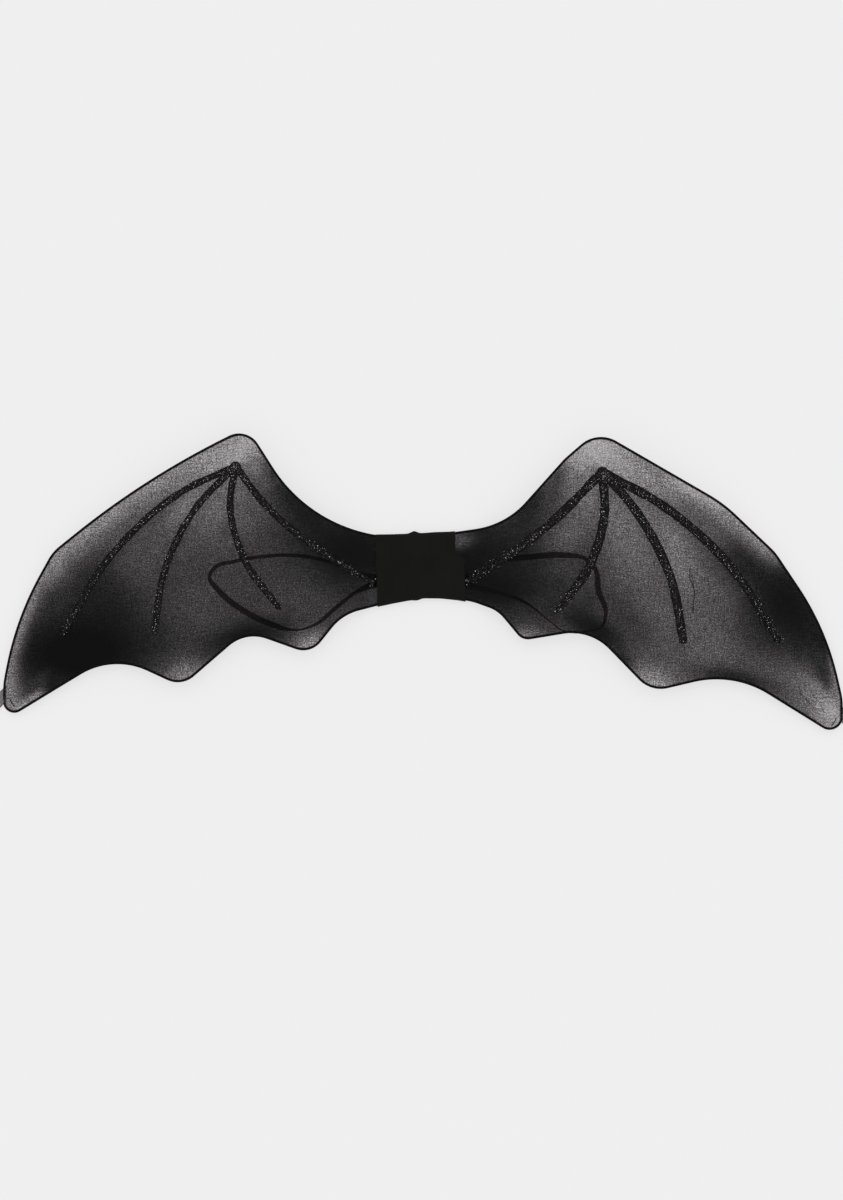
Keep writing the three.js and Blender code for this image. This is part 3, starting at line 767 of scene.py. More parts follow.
@dataclass
class SheerSleeve:
    """The stocking knit over one wing: front layer, a turn round the wire, and back layer."""

    shape: WingShape
    middle: float
    zones: tuple[Zone, ...]
    rims: tuple[Rim, ...]
    flat: tuple[float, float]
    area: float
    # Painted shade beside the veins: the share of the grey it takes away at a vein, and how fast it fades
    vein_shade: float
    vein_shade_run: float = 6 * MM
    columns: int = 300
    rows: int = 96
    turn_steps: int = 7
    cling: float = 1.5 * MM
    seam: float = 1.5 * MM
    seam_limit: float = 0.2
    slack: float = 0.35 * MM
    draw_in: float = 9 * MM
    rim_soft: float = 0.06
    turn_cover: float = 1.0
    floor_light: float = 0.86
    glow_share: float = 0.75
    thread_light: float = 0.005
    pulled_light: float = 0.05

    def _cover(self, grey: np.ndarray) -> np.ndarray:
        """Cover of one layer that shows as a grey on the floor.

        The floor's own glow passes both layers once, and what it throws back passes them twice, so with t
        for 1 - cover the light is floor (glow t^2 + (1 - glow) t^4) and that of the threads, which are
        paler where they are pulled. The curve is read backwards.

        Args:
            grey: sRGB grey levels, 0 to 255.

        Returns:
            Shares of light that one layer stops.
        """
        level = ((grey / 255 + 0.055) / 1.055) ** 2.4
        through = np.linspace(0, 1, 500)
        floor = self.glow_share * through**2 + (1 - self.glow_share) * through**4
        pulled = np.clip((through - 0.15) / 0.65, 0, 1) * (1 - through**2)
        light = self.thread_light + self.pulled_light * pulled + self.floor_light * floor
        return 1 - np.interp(level, light, through)

    def build(self, material: bpy.types.Material, veins: list[np.ndarray]) -> bpy.types.Object:
        """Makes the sleeve as rings across the wing that close round the wire on both edges.

        A ring runs over the front from the upper to the lower edge, in even shares but for a first and last
        step as wide as the seam, round the lower wire by half a circle, back under, and round the upper
        wire. Between the wires the layers draw together by an exponential of the distance from the edge.

        Args:
            material: The stretched knit.
            veins: Plan lines of the glue veins, beside which the knit is darkened by painted shade.

        Returns:
            The sleeve.
        """
        upper = resample(self.shape.upper, self.columns + 1)
        lower = resample(self.shape.lower, self.columns + 1)
        out_upper = side_normals(upper)[:-1] * self.shape.hand.value
        out_lower = side_normals(lower)[:-1] * -self.shape.hand.value
        # Both edges meet at the tip, so the last ring stops one step before it
        upper, lower = upper[:-1], lower[:-1]
        width = np.linalg.norm(upper - lower, axis=1)[:, None]
        first = np.minimum(self.seam / width, self.seam_limit)
        share = first + (1 - 2 * first) * np.linspace(0, 1, self.rows - 2)[None, :]
        share = np.concatenate([0 * first, share, 0 * first + 1], axis=1)
        plan = upper[:, None] * (1 - share)[..., None] + lower[:, None] * share[..., None]
        near = np.minimum(share, 1 - share) * width
        half = self.slack + (self.cling - self.slack) * np.exp(-near / self.draw_in)
        angle = np.linspace(np.pi / 2, -np.pi / 2, self.turn_steps + 2)[1:-1]
        front = np.concatenate([plan, (self.shape.mid_height(plan) + half)[..., None]], axis=-1)
        back = np.concatenate([plan, (self.shape.mid_height(plan) - half)[..., None]], axis=-1)[:, ::-1]
        points = np.concatenate(
            [
                front,
                tube(lower, self.shape.mid_height(lower), out_lower, self.cling, angle),
                back,
                tube(upper, self.shape.mid_height(upper), out_upper, self.cling, angle[::-1]),
            ],
            axis=1,
        )
        # The knit's grey is darkened beside the veins by painted shade
        layer = self._cover(self._grey(plan) * self._vein_shade(plan, veins))
        layer[:, [0, -1]] = self.turn_cover
        turn = np.full((self.columns, self.turn_steps), self.turn_cover)
        cover = np.concatenate([layer, turn, layer[:, ::-1], turn], axis=1)
        word = self.shape.hand.word
        made = skin(f"{word}_sheer_sleeve", points, Ends.OPEN, material, {"cover": cover})
        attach(made, "root")
        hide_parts(f"{word}_knit_sleeve")
        return made

    def _vein_shade(self, plan: np.ndarray, veins: list[np.ndarray]) -> np.ndarray:
        """How much of its grey the knit keeps beside the veins, on their side towards the band.

        It is 1 - shade f exp(-distance / run), a painted shade, with f the cosine between the way from the
        vein to the point and the way inwards and down.

        Args:
            plan: Columns by rows by 2.
            veins: Plan lines of the veins.

        Returns:
            Columns by rows.
        """
        inward = unit(np.array([-0.9 * self.shape.hand.value, -0.42]))
        flat = plan.reshape(-1, 2)
        kept = np.ones(len(flat))
        for line in veins:
            square = np.sum(flat**2, axis=1)[:, None] + np.sum(line**2, axis=1) - 2 * flat @ line.T
            away = flat - line[np.argmin(square, axis=1)]
            far = np.maximum(np.linalg.norm(away, axis=1), 0.1 * MM)
            facing = np.clip(away @ inward / far, 0, 1)
            # Painted shade: the knit is darker on each vein's side towards the band
            kept *= 1 - self.vein_shade * facing * np.exp(-far / self.vein_shade_run)
        return kept.reshape(plan.shape[:2])

    def _grey(self, plan: np.ndarray) -> np.ndarray:
        """Grey of the knit at each point, painted zone over zone.

        A zone pulls the grey to its own by exp(-d^2.5), with d the distance from its middle in its own half
        sizes. A rim does so by exp(-(distance from the upper edge / width)^2) between its two shares.

        Args:
            plan: Columns by rows by 2.

        Returns:
            Columns by rows.
        """
        grey = np.full(plan.shape[:2], float(self.middle))
        for zone in self.zones:
            c, s = math.cos(math.radians(zone.turn)), math.sin(math.radians(zone.turn))
            offset = (plan / MM - (zone.x, zone.y)) @ np.array([[c, -s], [s, c]])
            away = np.sum((offset / (zone.along, zone.across)) ** 2, axis=-1)
            grey += (zone.grey - grey) * np.exp(-(away**1.25))
        edge = resample(self.shape.upper, self.columns) / MM
        flat = plan.reshape(-1, 2) / MM
        square = np.sum(flat**2, axis=1)[:, None] + np.sum(edge**2, axis=1) - 2 * flat @ edge.T
        nearest = np.argmin(square, axis=1)
        depth = np.sqrt(np.maximum(square[np.arange(len(flat)), nearest], 0)).reshape(grey.shape)
        share = (nearest / (self.columns - 1)).reshape(grey.shape)
        half = self.rim_soft / 2
        for rim in self.rims:
            along = smooth(share, rim.start - half, rim.start + half)
            along *= 1 - smooth(share, rim.stop - half, rim.stop + half)
            grey += (rim.grey - grey) * along * np.exp(-((depth / rim.width) ** 2))
        return grey


@dataclass
class GlitterVeins:
    """The glue lines of one wing and the glitter in them."""

    shape: WingShape
    knuckle: tuple[float, float]
    veins: tuple[Vein, ...]
    width: float
    seed: int
    height: float = 1.0 * MM
    lift: float = 1.45 * MM
    stations: int = 150
    across: int = 14
    flakes_per_mm2: float = 0.9
    flake_sizes: tuple[float, float] = (0.16 * MM, 0.32 * MM)
    pool_share: float = 0.7
    pool_drop: float = 1.4 * MM
    pool_rings: int = 9
    pool_sides: int = 28
    sunk: float = 0.1 * MM
    proud: float = 0.12 * MM
    dry_run: float = 0.35
    dry_width: float = 0.86
    dry_height: float = 0.35
    dry_wet: float = 0.43
    edge_dry: float = 0.5
    swell: float = 0.09
    flake_spread: float = 0.5
    dry_spread: float = 0.2
    dry_kept: float = 0.4
    dry_sparkle: float = 0.1
    flake_tilt: float = 0.35

    # Tints and how common each is, and the number of the one that is commoner in dry glue
    bright: int = 3
    tints: tuple[tuple[str, float], ...] = (
        ("#191617", 0.46),
        ("#3d393b", 0.30),
        ("#7d797a", 0.13),
        ("#f4f2f0", 0.06),
        ("#84694a", 0.012),
        ("#55776a", 0.012),
        ("#765b66", 0.016),
    )

    def routes(self) -> list[np.ndarray]:
        """Plan lines of all veins."""
        return [self._route(vein) for vein in self.veins]

    def _route(self, vein: Vein) -> np.ndarray:
        """The vein's plan line, from the knuckle to its end.

        Args:
            vein: The vein.

        Returns:
            Evenly spaced plan points.
        """
        knots = [self.knuckle, vein.near, vein.far, vein.end]
        return smooth_curve(np.array([self.shape.place(*knot) for knot in knots]), self.stations)

    def _top(self, plan: np.ndarray) -> np.ndarray:
        """Height of the knit's front under a plan point."""
        return self.shape.mid_height(plan) + self.lift

    def _fill(self, vein: Vein, share: np.ndarray) -> np.ndarray:
        """How full the line is along its length: 1, then a smooth step down to its fill at the end.

        Args:
            vein: The vein.
            share: Shares of its length.

        Returns:
            Fill from 0 to 1.
        """
        return 1 - (1 - vein.fill) * smooth(share, vein.dry, min(1.0, vein.dry + self.dry_run))

    def build(self, glue: bpy.types.Material, flake: bpy.types.Material) -> list[bpy.types.Object]:
        """Makes one bead a vein and one scatter of flakes.

        Args:
            glue: The glitter glue.
            flake: The cut film.

        Returns:
            The beads and the flakes.
        """
        word = self.shape.hand.word
        rng = np.random.default_rng(self.seed)
        beads = [self._bead(vein, rng, glue) for vein in self.veins]
        beads.append(self._pool(glue))
        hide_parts(f"{word}_glitter_veins")
        flakes = self._flakes(rng, flake)
        for piece in (*beads, flakes):
            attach(piece, "root")
        return [*beads, flakes]

    def _bead(self, vein: Vein, rng: np.random.Generator, glue: bpy.types.Material) -> bpy.types.Object:
        """A domed strip: height h (1 - x^4) over its width, with a slow random swell of the width.

        Args:
            vein: The vein.
            rng: Seeded random source.
            glue: The glitter glue.

        Returns:
            The bead.
        """
        route = self._route(vein)
        side = side_normals(route)
        share = np.linspace(0, 1, self.stations)
        fill = self._fill(vein, share)
        ends = np.sqrt(np.clip(share * 60, 0.02, 1) * np.clip((1 - share) * 60, 0.02, 1))
        knots = rng.uniform(-1, 1, self.stations // 5)
        swell = np.interp(share, np.linspace(0, 1, knots.size), knots)
        half = self.width / 2 * (1 + self.swell * swell) * ends
        half *= self.dry_width + (1 - self.dry_width) * fill
        x = np.cos(np.linspace(np.pi, 0, self.across))
        over = route[:, None] + side[:, None] * (half[:, None] * x[None, :])[..., None]
        full = self.dry_height + (1 - self.dry_height) * fill
        rise = self.height * (full * ends)[:, None] * (1 - x[None, :] ** 4)
        top = np.concatenate([over, (self._top(over) + rise)[..., None]], axis=-1)
        under_plan = over[:, -2:0:-1]
        under = np.concatenate([under_plan, (self._top(under_plan) - self.sunk)[..., None]], axis=-1)
        body = (self.dry_wet + (1 - self.dry_wet) * fill)[:, None] * (1 - self.edge_dry * x[None, :] ** 6)
        wet = np.concatenate([body, body[:, -2:0:-1]], axis=1)
        name = f"{self.shape.hand.word}_{vein.name}_vein"
        return skin(name, np.concatenate([top, under], axis=1), Ends.CAPPED, glue, {"wet": wet})

    def _pool(self, glue: bpy.types.Material) -> bpy.types.Object:
        """The low dome of glue in the knuckle: rings of radius r share, at height h (1 - share^4).

        Args:
            glue: The glitter glue.

        Returns:
            The pool.
        """
        share = np.linspace(1, 0.03, self.pool_rings)[:, None]
        angle = np.linspace(0, 2 * np.pi, self.pool_sides, endpoint=False)[None, :]
        radius = self.pool_share * self.width
        centre = self.shape.place(*self.knuckle) - np.array([0, self.pool_drop])
        plan = np.stack([share * np.cos(angle), share * np.sin(angle)], axis=-1) * radius + centre
        rise = self.height * (1 - share**4) - self.sunk * (share == 1)
        points = np.concatenate([plan, (self._top(plan) + rise)[..., None]], axis=-1)
        wet = np.broadcast_to(1 - 0.3 * share**8, points.shape[:2])
        return skin(f"{self.shape.hand.word}_knuckle_pool", points, Ends.CAPPED, glue, {"wet": wet})

    def _pool_scatter(self, rng: np.random.Generator) -> np.ndarray:
        """Places on the pool, even over its area: radius r sqrt(u) at a random angle.

        Args:
            rng: Seeded random source.

        Returns:
            Points on the dome.
        """
        radius = self.pool_share * self.width
        count = int(self.flakes_per_mm2 * math.pi * radius**2 / MM**2)
        share = np.sqrt(rng.uniform(0, 1, count))
        angle = rng.uniform(0, 2 * np.pi, count)
        spread = np.stack([np.cos(angle), np.sin(angle)], axis=1) * (share * radius)[:, None]
        plan = self.shape.place(*self.knuckle) - np.array([0, self.pool_drop]) + spread
        rise = self.height * (1 - share**4) + self.proud
        return np.concatenate([plan, (self._top(plan) + rise)[:, None]], axis=1)

    def _flakes(self, rng: np.random.Generator, material: bpy.types.Material) -> bpy.types.Object:
        """Scatters hexagons over the beads: centre + r cos(k 60 deg) u + r sin(k 60 deg) v, tilted.

        Args:
            rng: Seeded random source.
            material: The cut film.

        Returns:
            All the wing's flakes as one piece.
        """
        centres, dry = [], []
        for vein in self.veins:
            route = self._route(vein)
            length = np.sum(np.linalg.norm(np.diff(route, axis=0), axis=1))
            count = int(self.flakes_per_mm2 * length * self.width / MM**2)
            share = rng.uniform(0, 1, count)
            fill = self._fill(vein, share)
            kept = rng.uniform(0, 1, count) < self.dry_kept + (1 - self.dry_kept) * fill
            share, fill = share[kept], fill[kept]
            spread = self.flake_spread + self.dry_spread * (1 - fill)
            x = np.clip(rng.normal(0, spread, share.size), -1.25, 1.25)
            at = share * (self.stations - 1)
            side = side_normals(route)
            steps = np.arange(self.stations)
            centre = np.stack([np.interp(at, steps, route[:, k]) for k in (0, 1)], axis=1)
            normal = np.stack([np.interp(at, steps, side[:, k]) for k in (0, 1)], axis=1)
            plan = centre + normal * (x * self.width / 2)[:, None]
            full = self.dry_height + (1 - self.dry_height) * fill
            rise = self.height * full * np.clip(1 - x**4, 0.05, 1)
            high = self._top(plan) + rise + self.proud
            centres.append(np.concatenate([plan, high[:, None]], axis=1))
            dry.append(1 - fill)
        centres.append(self._pool_scatter(rng))
        dry.append(np.zeros(len(centres[-1])))
        middle = np.concatenate(centres)
        count = len(middle)
        tilt = rng.normal(0, self.flake_tilt, (count, 2))
        normal = unit(np.concatenate([tilt, np.ones((count, 1))], axis=1))
        u = unit(np.cross(normal, np.array([0.0, 1.0, 0.0])))
        v = np.cross(normal, u)
        turn = rng.uniform(0, np.pi / 3, count)[:, None] + np.arange(6)[None, :] * np.pi / 3
        radius = rng.uniform(*self.flake_sizes, count)[:, None, None]
        ring = np.cos(turn)[..., None] * u[:, None] + np.sin(turn)[..., None] * v[:, None]
        points = (middle[:, None] + radius * ring).reshape(-1, 3)
        shares = np.array([share for _, share in self.tints])
        pick = rng.choice(len(self.tints), count, p=shares / shares.sum())
        pick[rng.uniform(0, 1, count) < self.dry_sparkle * np.concatenate(dry)] = self.bright
        palette = np.array([linear(colour)[:3] for colour, _ in self.tints])
        faces = np.arange(6 * count).reshape(count, 6)
        return finish_mesh(
            f"{self.shape.hand.word}_glitter_flakes",
            points,
            faces.tolist(),
            material,
            {"tint": palette[pick].repeat(6, axis=0)},
            shade_smooth=False,
        )


@dataclass
class ArmStrap:
    """One narrow elastic strap, from the band round behind the wing and back."""

    shape: WingShape
    spread: float
    route: tuple[StrapPoint, ...]
    entry: float = -0.18
    width: float = 6.2 * MM
    thickness: float = 0.9 * MM
    tuck: float = 16 * MM
    seat: float = 1.5 * MM
    rest: float = 0.1 * MM
    steps: int = 420
    corner_power: float = 0.35
    sides: int = 20

    def build(self, material: bpy.types.Material) -> bpy.types.Object:
        """Carries a flat rounded section along the route, leaning from flat to on edge.

        The section is sign(cos a)|cos a|^p wide and sign(sin a)|sin a|^p thick, a rounded rectangle, turned
        by the lean about the route and set with its lowest side at the rest height.

        Args:
            material: The elastic.

        Returns:
            The strap.
        """
        edge = self.shape.band_edge
        reach = self.shape.strap_reach
        middle = self.entry * self.spread
        gap = (self.width + 1 * MM) / 2
        knots = [(edge - self.tuck, middle + gap, 0, self.seat), (edge, middle + gap, 0, self.seat)]
        knots += [
            (edge + (reach - edge) * p.out, p.up * self.spread, p.lean, self.rest) for p in self.route
        ]
        knots += [(edge, middle - gap, 0, self.seat), (edge - self.tuck, middle - gap, 0, self.seat)]
        table = np.array(knots)
        table[:, 0] *= self.shape.hand.value
        table[:, 2] = np.radians(table[:, 2])
        line = smooth_curve(table, self.steps)
        plan, lean, rest = line[:, :2], line[:, 2:3], line[:, 3:4]
        side = side_normals(plan)
        angle = np.linspace(0, 2 * np.pi, self.sides, endpoint=False)[None, :]
        wide = np.sign(np.cos(angle)) * np.abs(np.cos(angle)) ** self.corner_power * self.width / 2
        thick = np.sign(np.sin(angle)) * np.abs(np.sin(angle)) ** self.corner_power * self.thickness / 2
        over = wide * np.cos(lean) - thick * np.sin(lean)
        high = wide * np.sin(lean) + thick * np.cos(lean)
        high = high - high.min(axis=1, keepdims=True) + np.maximum(rest, self.rest)
        points = np.concatenate([plan[:, None] + side[:, None] * over[..., None], high[..., None]], axis=-1)
        run = np.concatenate([[0], np.cumsum(np.linalg.norm(np.diff(plan, axis=0), axis=1))])
        along = run[:, None].repeat(self.sides, axis=1)
        word = self.shape.hand.word
        made = skin(f"{word}_elastic_strap", points, Ends.CAPPED, material, {"along": along})
        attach(made, "root")
        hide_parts(f"{word}_arm_strap")
        return made


@dataclass
class CentreBand:
    """The tube of matt knit that holds both wings' inner ends."""

    # X, top and bottom of the band in mm, from its left edge to its right
    stations: tuple[tuple[float, float, float], ...] = (
        (-39.5, 32.7, -40.0),
        (-24, 32.9, -36.7),
        (-9, 33.4, -33.8),
        (4, 33.9, -31.4),
        (20, 35.1, -31.6),
        (34, 35.5, -33.4),
        (40, 36.0, -34.8),
    )
    lean: float = 2.0 * MM
    bulge: float = 8.6 * MM
    bulge_from: float = 16.5 * MM
    bulge_to: float = 8 * MM
    depth: float = 9.2 * MM
    wall: float = 0.7 * MM
    lump_height: float = 2.3 * MM
    lump_at: float = -0.9 * MM
    lump_spread: float = 4.2 * MM
    step_at: float = 6.5 * MM
    step_height: float = 0.55 * MM
    step_run: float = 0.8 * MM
    hollow: float = 0.7 * MM
    ridge_height: float = 0.5 * MM
    ridge_at: float = -2 * MM
    ridge_spread: float = 5 * MM
    crease_height: float = 0.18 * MM
    settle: float = 0.25 * MM
    columns: int = 150
    cap_steps: int = 14
    run_steps: int = 60

    def _ring(self, inset: float) -> np.ndarray:
        """Rings of a stadium shape, flat behind and before with half circles at the top and bottom.

        The front swells over the wires' legs, and drops by a smooth step where the knit's last turn ends.
        The sides lean in proportion to the way down, and the right one bulges out below its top corner.

        Args:
            inset: How far the rings lie inside the band's outside.

        Returns:
            Columns by ring points by 3.
        """
        table = np.array(self.stations) * MM
        x = np.linspace(table[0, 0], table[-1, 0], self.columns)[:, None]
        lump = self.lump_height * np.exp(-(((x - self.lump_at) / self.lump_spread) ** 2))
        top = np.interp(x, table[:, 0], table[:, 1]) + lump - inset
        bottom = np.interp(x, table[:, 0], table[:, 2]) - 0.5 * lump + inset
        step = self.step_height * (1 - smooth(x, self.step_at, self.step_at + self.step_run))
        front = self.depth - self.hollow + step - inset
        radius = (front - inset) / 2
        middle = (front + inset) / 2
        quarter = np.pi / 2
        upper = np.linspace(quarter, -quarter, self.cap_steps)[None, :]
        lower = np.linspace(-quarter, -3 * quarter, self.cap_steps)[None, :]
        share = np.linspace(0, 1, self.run_steps + 2)[None, 1:-1]
        high, low = top - radius, bottom + radius
        y = np.concatenate(
            [
                high + radius * np.cos(upper),
                high + (low - high) * share,
                low + radius * np.cos(lower),
                low + (high - low) * share,
            ],
            axis=1,
        )
        z = np.concatenate(
            [
                middle + radius * np.sin(upper),
                inset + 0 * (high * share),
                middle + radius * np.sin(lower),
                front + 0 * (high * share),
            ],
            axis=1,
        )
        before = smooth(z, 0.5 * self.depth, self.depth)
        ridge = self.ridge_height * np.exp(-(((x - self.ridge_at) / self.ridge_spread) ** 2))
        phase = y / (3.1 * MM) + 2.2 * np.sin(x / (11 * MM)) + x / (7 * MM)
        crease = self.crease_height * np.sin(phase)
        z = z + before * (ridge + crease * (inset == 0) - self.settle)
        across = (x - x[0]) / (x[-1] - x[0])
        slant = self.lean * (top - y) / (top - bottom)
        slant += self.bulge * across**3 * smooth(-y, -self.bulge_from, -self.bulge_to)
        return np.stack([x + slant, y, z], axis=-1)

    def build(self, material: bpy.types.Material) -> bpy.types.Object:
        """Joins the outside rings to the inside rings, back to the start.

        Args:
            material: The jersey knit.

        Returns:
            The band.
        """
        points = np.concatenate([self._ring(0.0), self._ring(self.wall)[::-1]])
        made = skin("middle_band", points, Ends.JOINED, material)
        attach(made, "root")
        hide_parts("centre_band")
        return made


@dataclass
class TipLoop:
    """A short loop of sheer ribbon, both ends stacked and sewn under a wing's tip."""

    shape: WingShape
    share: float
    width: float = 16.5 * MM
    thickness: float = 0.5 * MM
    lap: float = 1.2 * MM
    sag: float = 9 * MM
    sag_run: float = 7 * MM
    length: float = 30 * MM
    bow: float = 11 * MM
    low: float = 0.65 * MM
    stack: float = 1.3 * MM
    rim: float = 2.6 * MM
    cover: float = 0.38
    edge_cover: float = 0.15
    stitch_radius: float = 0.48 * MM
    stitch_drop: float = 8.5 * MM
    stitch_in: float = 5.6 * MM
    stitch_slant: float = 4.6 * MM
    stitch_row: float = 0.46
    stitch_lift: float = 1.3 * MM
    stitch_wave: float = 0.55 * MM
    stitches: int = 4
    steps: int = 120
    sides: int = 8
    across: int = 24

    # Side view: shares of the length out from the wire and of the bow's height
    route: tuple[tuple[float, float], ...] = (
        (0.15, 0.0),
        (0.45, 0.0),
        (0.75, 0.02),
        (0.93, 0.2),
        (1.0, 0.5),
        (0.92, 0.82),
        (0.72, 1.0),
        (0.5, 0.86),
        (0.3, 0.5),
    )

    def build(self, ribbon: bpy.types.Material, thread: bpy.types.Material) -> list[bpy.types.Object]:
        """Carries the ribbon's flat section round the loop, and sews it with a row of stitches.

        The loop hangs towards the wing's lower edge by the tangent hyperbolic of the way out.

        Args:
            ribbon: The sheer ribbon.
            thread: The sewing thread.

        Returns:
            The ribbon and its stitches.
        """
        low, high, rim = self.low, self.low + self.stack, self.rim
        knots = [(-self.lap, low), (rim, low)]
        knots += [(out * self.length + rim, low + up * self.bow) for out, up in self.route]
        knots += [(rim, high), (-self.lap, high)]
        line = smooth_curve(np.array(knots), self.steps)
        normal = side_normals(line) * self.thickness / 2
        v = np.linspace(-0.5, 0.5, self.across)
        outer, inner = line + normal, line - normal
        section = np.concatenate([v, v[::-1]])
        layer = np.concatenate([np.ones_like(v), np.zeros_like(v)])[None, :, None]
        profile = outer[:, None] * layer + inner[:, None] * (1 - layer)
        y0 = self.share * self.shape.height
        sunk = self.sag * np.tanh(np.maximum(profile[..., 0], 0) / self.sag_run)
        points = np.stack(
            [
                self.shape.hand.value * (self.shape.reach + profile[..., 0]),
                y0 + section * self.width - sunk,
                profile[..., 1],
            ],
            axis=-1,
        )
        edge = self.edge_cover * smooth(np.abs(section), 0.42, 0.47)
        cover = np.broadcast_to(self.cover + edge, profile.shape[:2])
        word = self.shape.hand.word
        made = skin(f"{word}_ribbon_loop", points, Ends.CAPPED, ribbon, {"cover": cover})
        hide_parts(f"{word}_tip_loop")
        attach(made, "root")
        return [made, self._stitches(y0, thread)]

    def _stitches(self, y0: float, thread: bpy.types.Material) -> bpy.types.Object:
        """A row of short stitches on the knit over the ribbon's ends, one wavy tube.

        Args:
            y0: Y of the ribbon's middle line.
            thread: The sewing thread.

        Returns:
            The stitches.
        """
        s = np.linspace(0, 1, self.steps)
        y = y0 - self.stitch_drop + (0.5 - s) * self.width * self.stitch_row
        inward = self.stitch_in + self.stitch_slant * s**1.5
        plan = np.stack([self.shape.hand.value * (self.shape.reach - inward), y], axis=1)
        wave = self.stitch_wave * np.sin(s * 2 * np.pi * self.stitches)
        high = self.shape.mid_height(plan) + self.stitch_lift + wave
        angle = np.linspace(0, 2 * np.pi, self.sides, endpoint=False)
        points = tube(plan, high, side_normals(plan), self.stitch_radius, angle)
        made = skin(f"{self.shape.hand.word}_tip_stitches", points, Ends.CAPPED, thread)
        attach(made, "root")
        return made


@dataclass(frozen=True)
class Snag:
    """A pulled thread or a fold in the front layer: its route in mm, radius in mm and how dark it is."""

    name: str
    route: tuple[tuple[float, float], ...]
    radius: float
    cover: float


@dataclass
class PulledThreads:
    """The snags of one wing."""

    shape: WingShape
    snags: tuple[Snag, ...]
    lift: float = 0.4 * MM
    thin_end: float = 0.25
    steps: int = 60
    sides: int = 8

    def build(self, material: bpy.types.Material) -> list[bpy.types.Object]:
        """Lays each snag on the front layer: centre + r cos(a) sideways + r sin(a) up, thin at its ends.

        Args:
            material: The stretched knit.

        Returns:
            One piece a snag.
        """
        made = []
        angle = np.linspace(0, 2 * np.pi, self.sides, endpoint=False)
        for snag in self.snags:
            plan = smooth_curve(np.array(snag.route) * MM, self.steps)
            share = np.linspace(0, 1, self.steps)
            radius = snag.radius * MM * (self.thin_end + (1 - self.thin_end) * np.sin(np.pi * share) ** 0.5)
            high = self.shape.mid_height(plan) + self.lift + radius
            points = tube(plan, high, side_normals(plan), radius, angle)
            cover = np.full(points.shape[:2], snag.cover)
            name = f"{self.shape.hand.word}_{snag.name}"
            piece = skin(name, points, Ends.CAPPED, material, {"cover": cover})
            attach(piece, "root")
            made.append(piece)
        return made


@dataclass
class Wing:
    """Everything that belongs to one wing."""

    shape: WingShape
    wire: OutlineWire
    sleeve: SheerSleeve
    veins: GlitterVeins
    snags: PulledThreads
    strap: ArmStrap
    loop: TipLoop

    def build(self, finishes: dict[str, bpy.types.Material]) -> list[bpy.types.Object]:
        """Builds and dresses the wing's pieces.

        Args:
            finishes: Materials by short name.

        Returns:
            All pieces.
        """
        return [
            self.wire.build(finishes["wire"]),
            self.sleeve.build(finishes["knit"], self.veins.routes()),
            *self.veins.build(finishes["glue"], finishes["flake"]),
            *self.snags.build(finishes["knit"]),
            self.strap.build(finishes["elastic"]),
            *self.loop.build(finishes["ribbon"], finishes["thread"]),
        ]


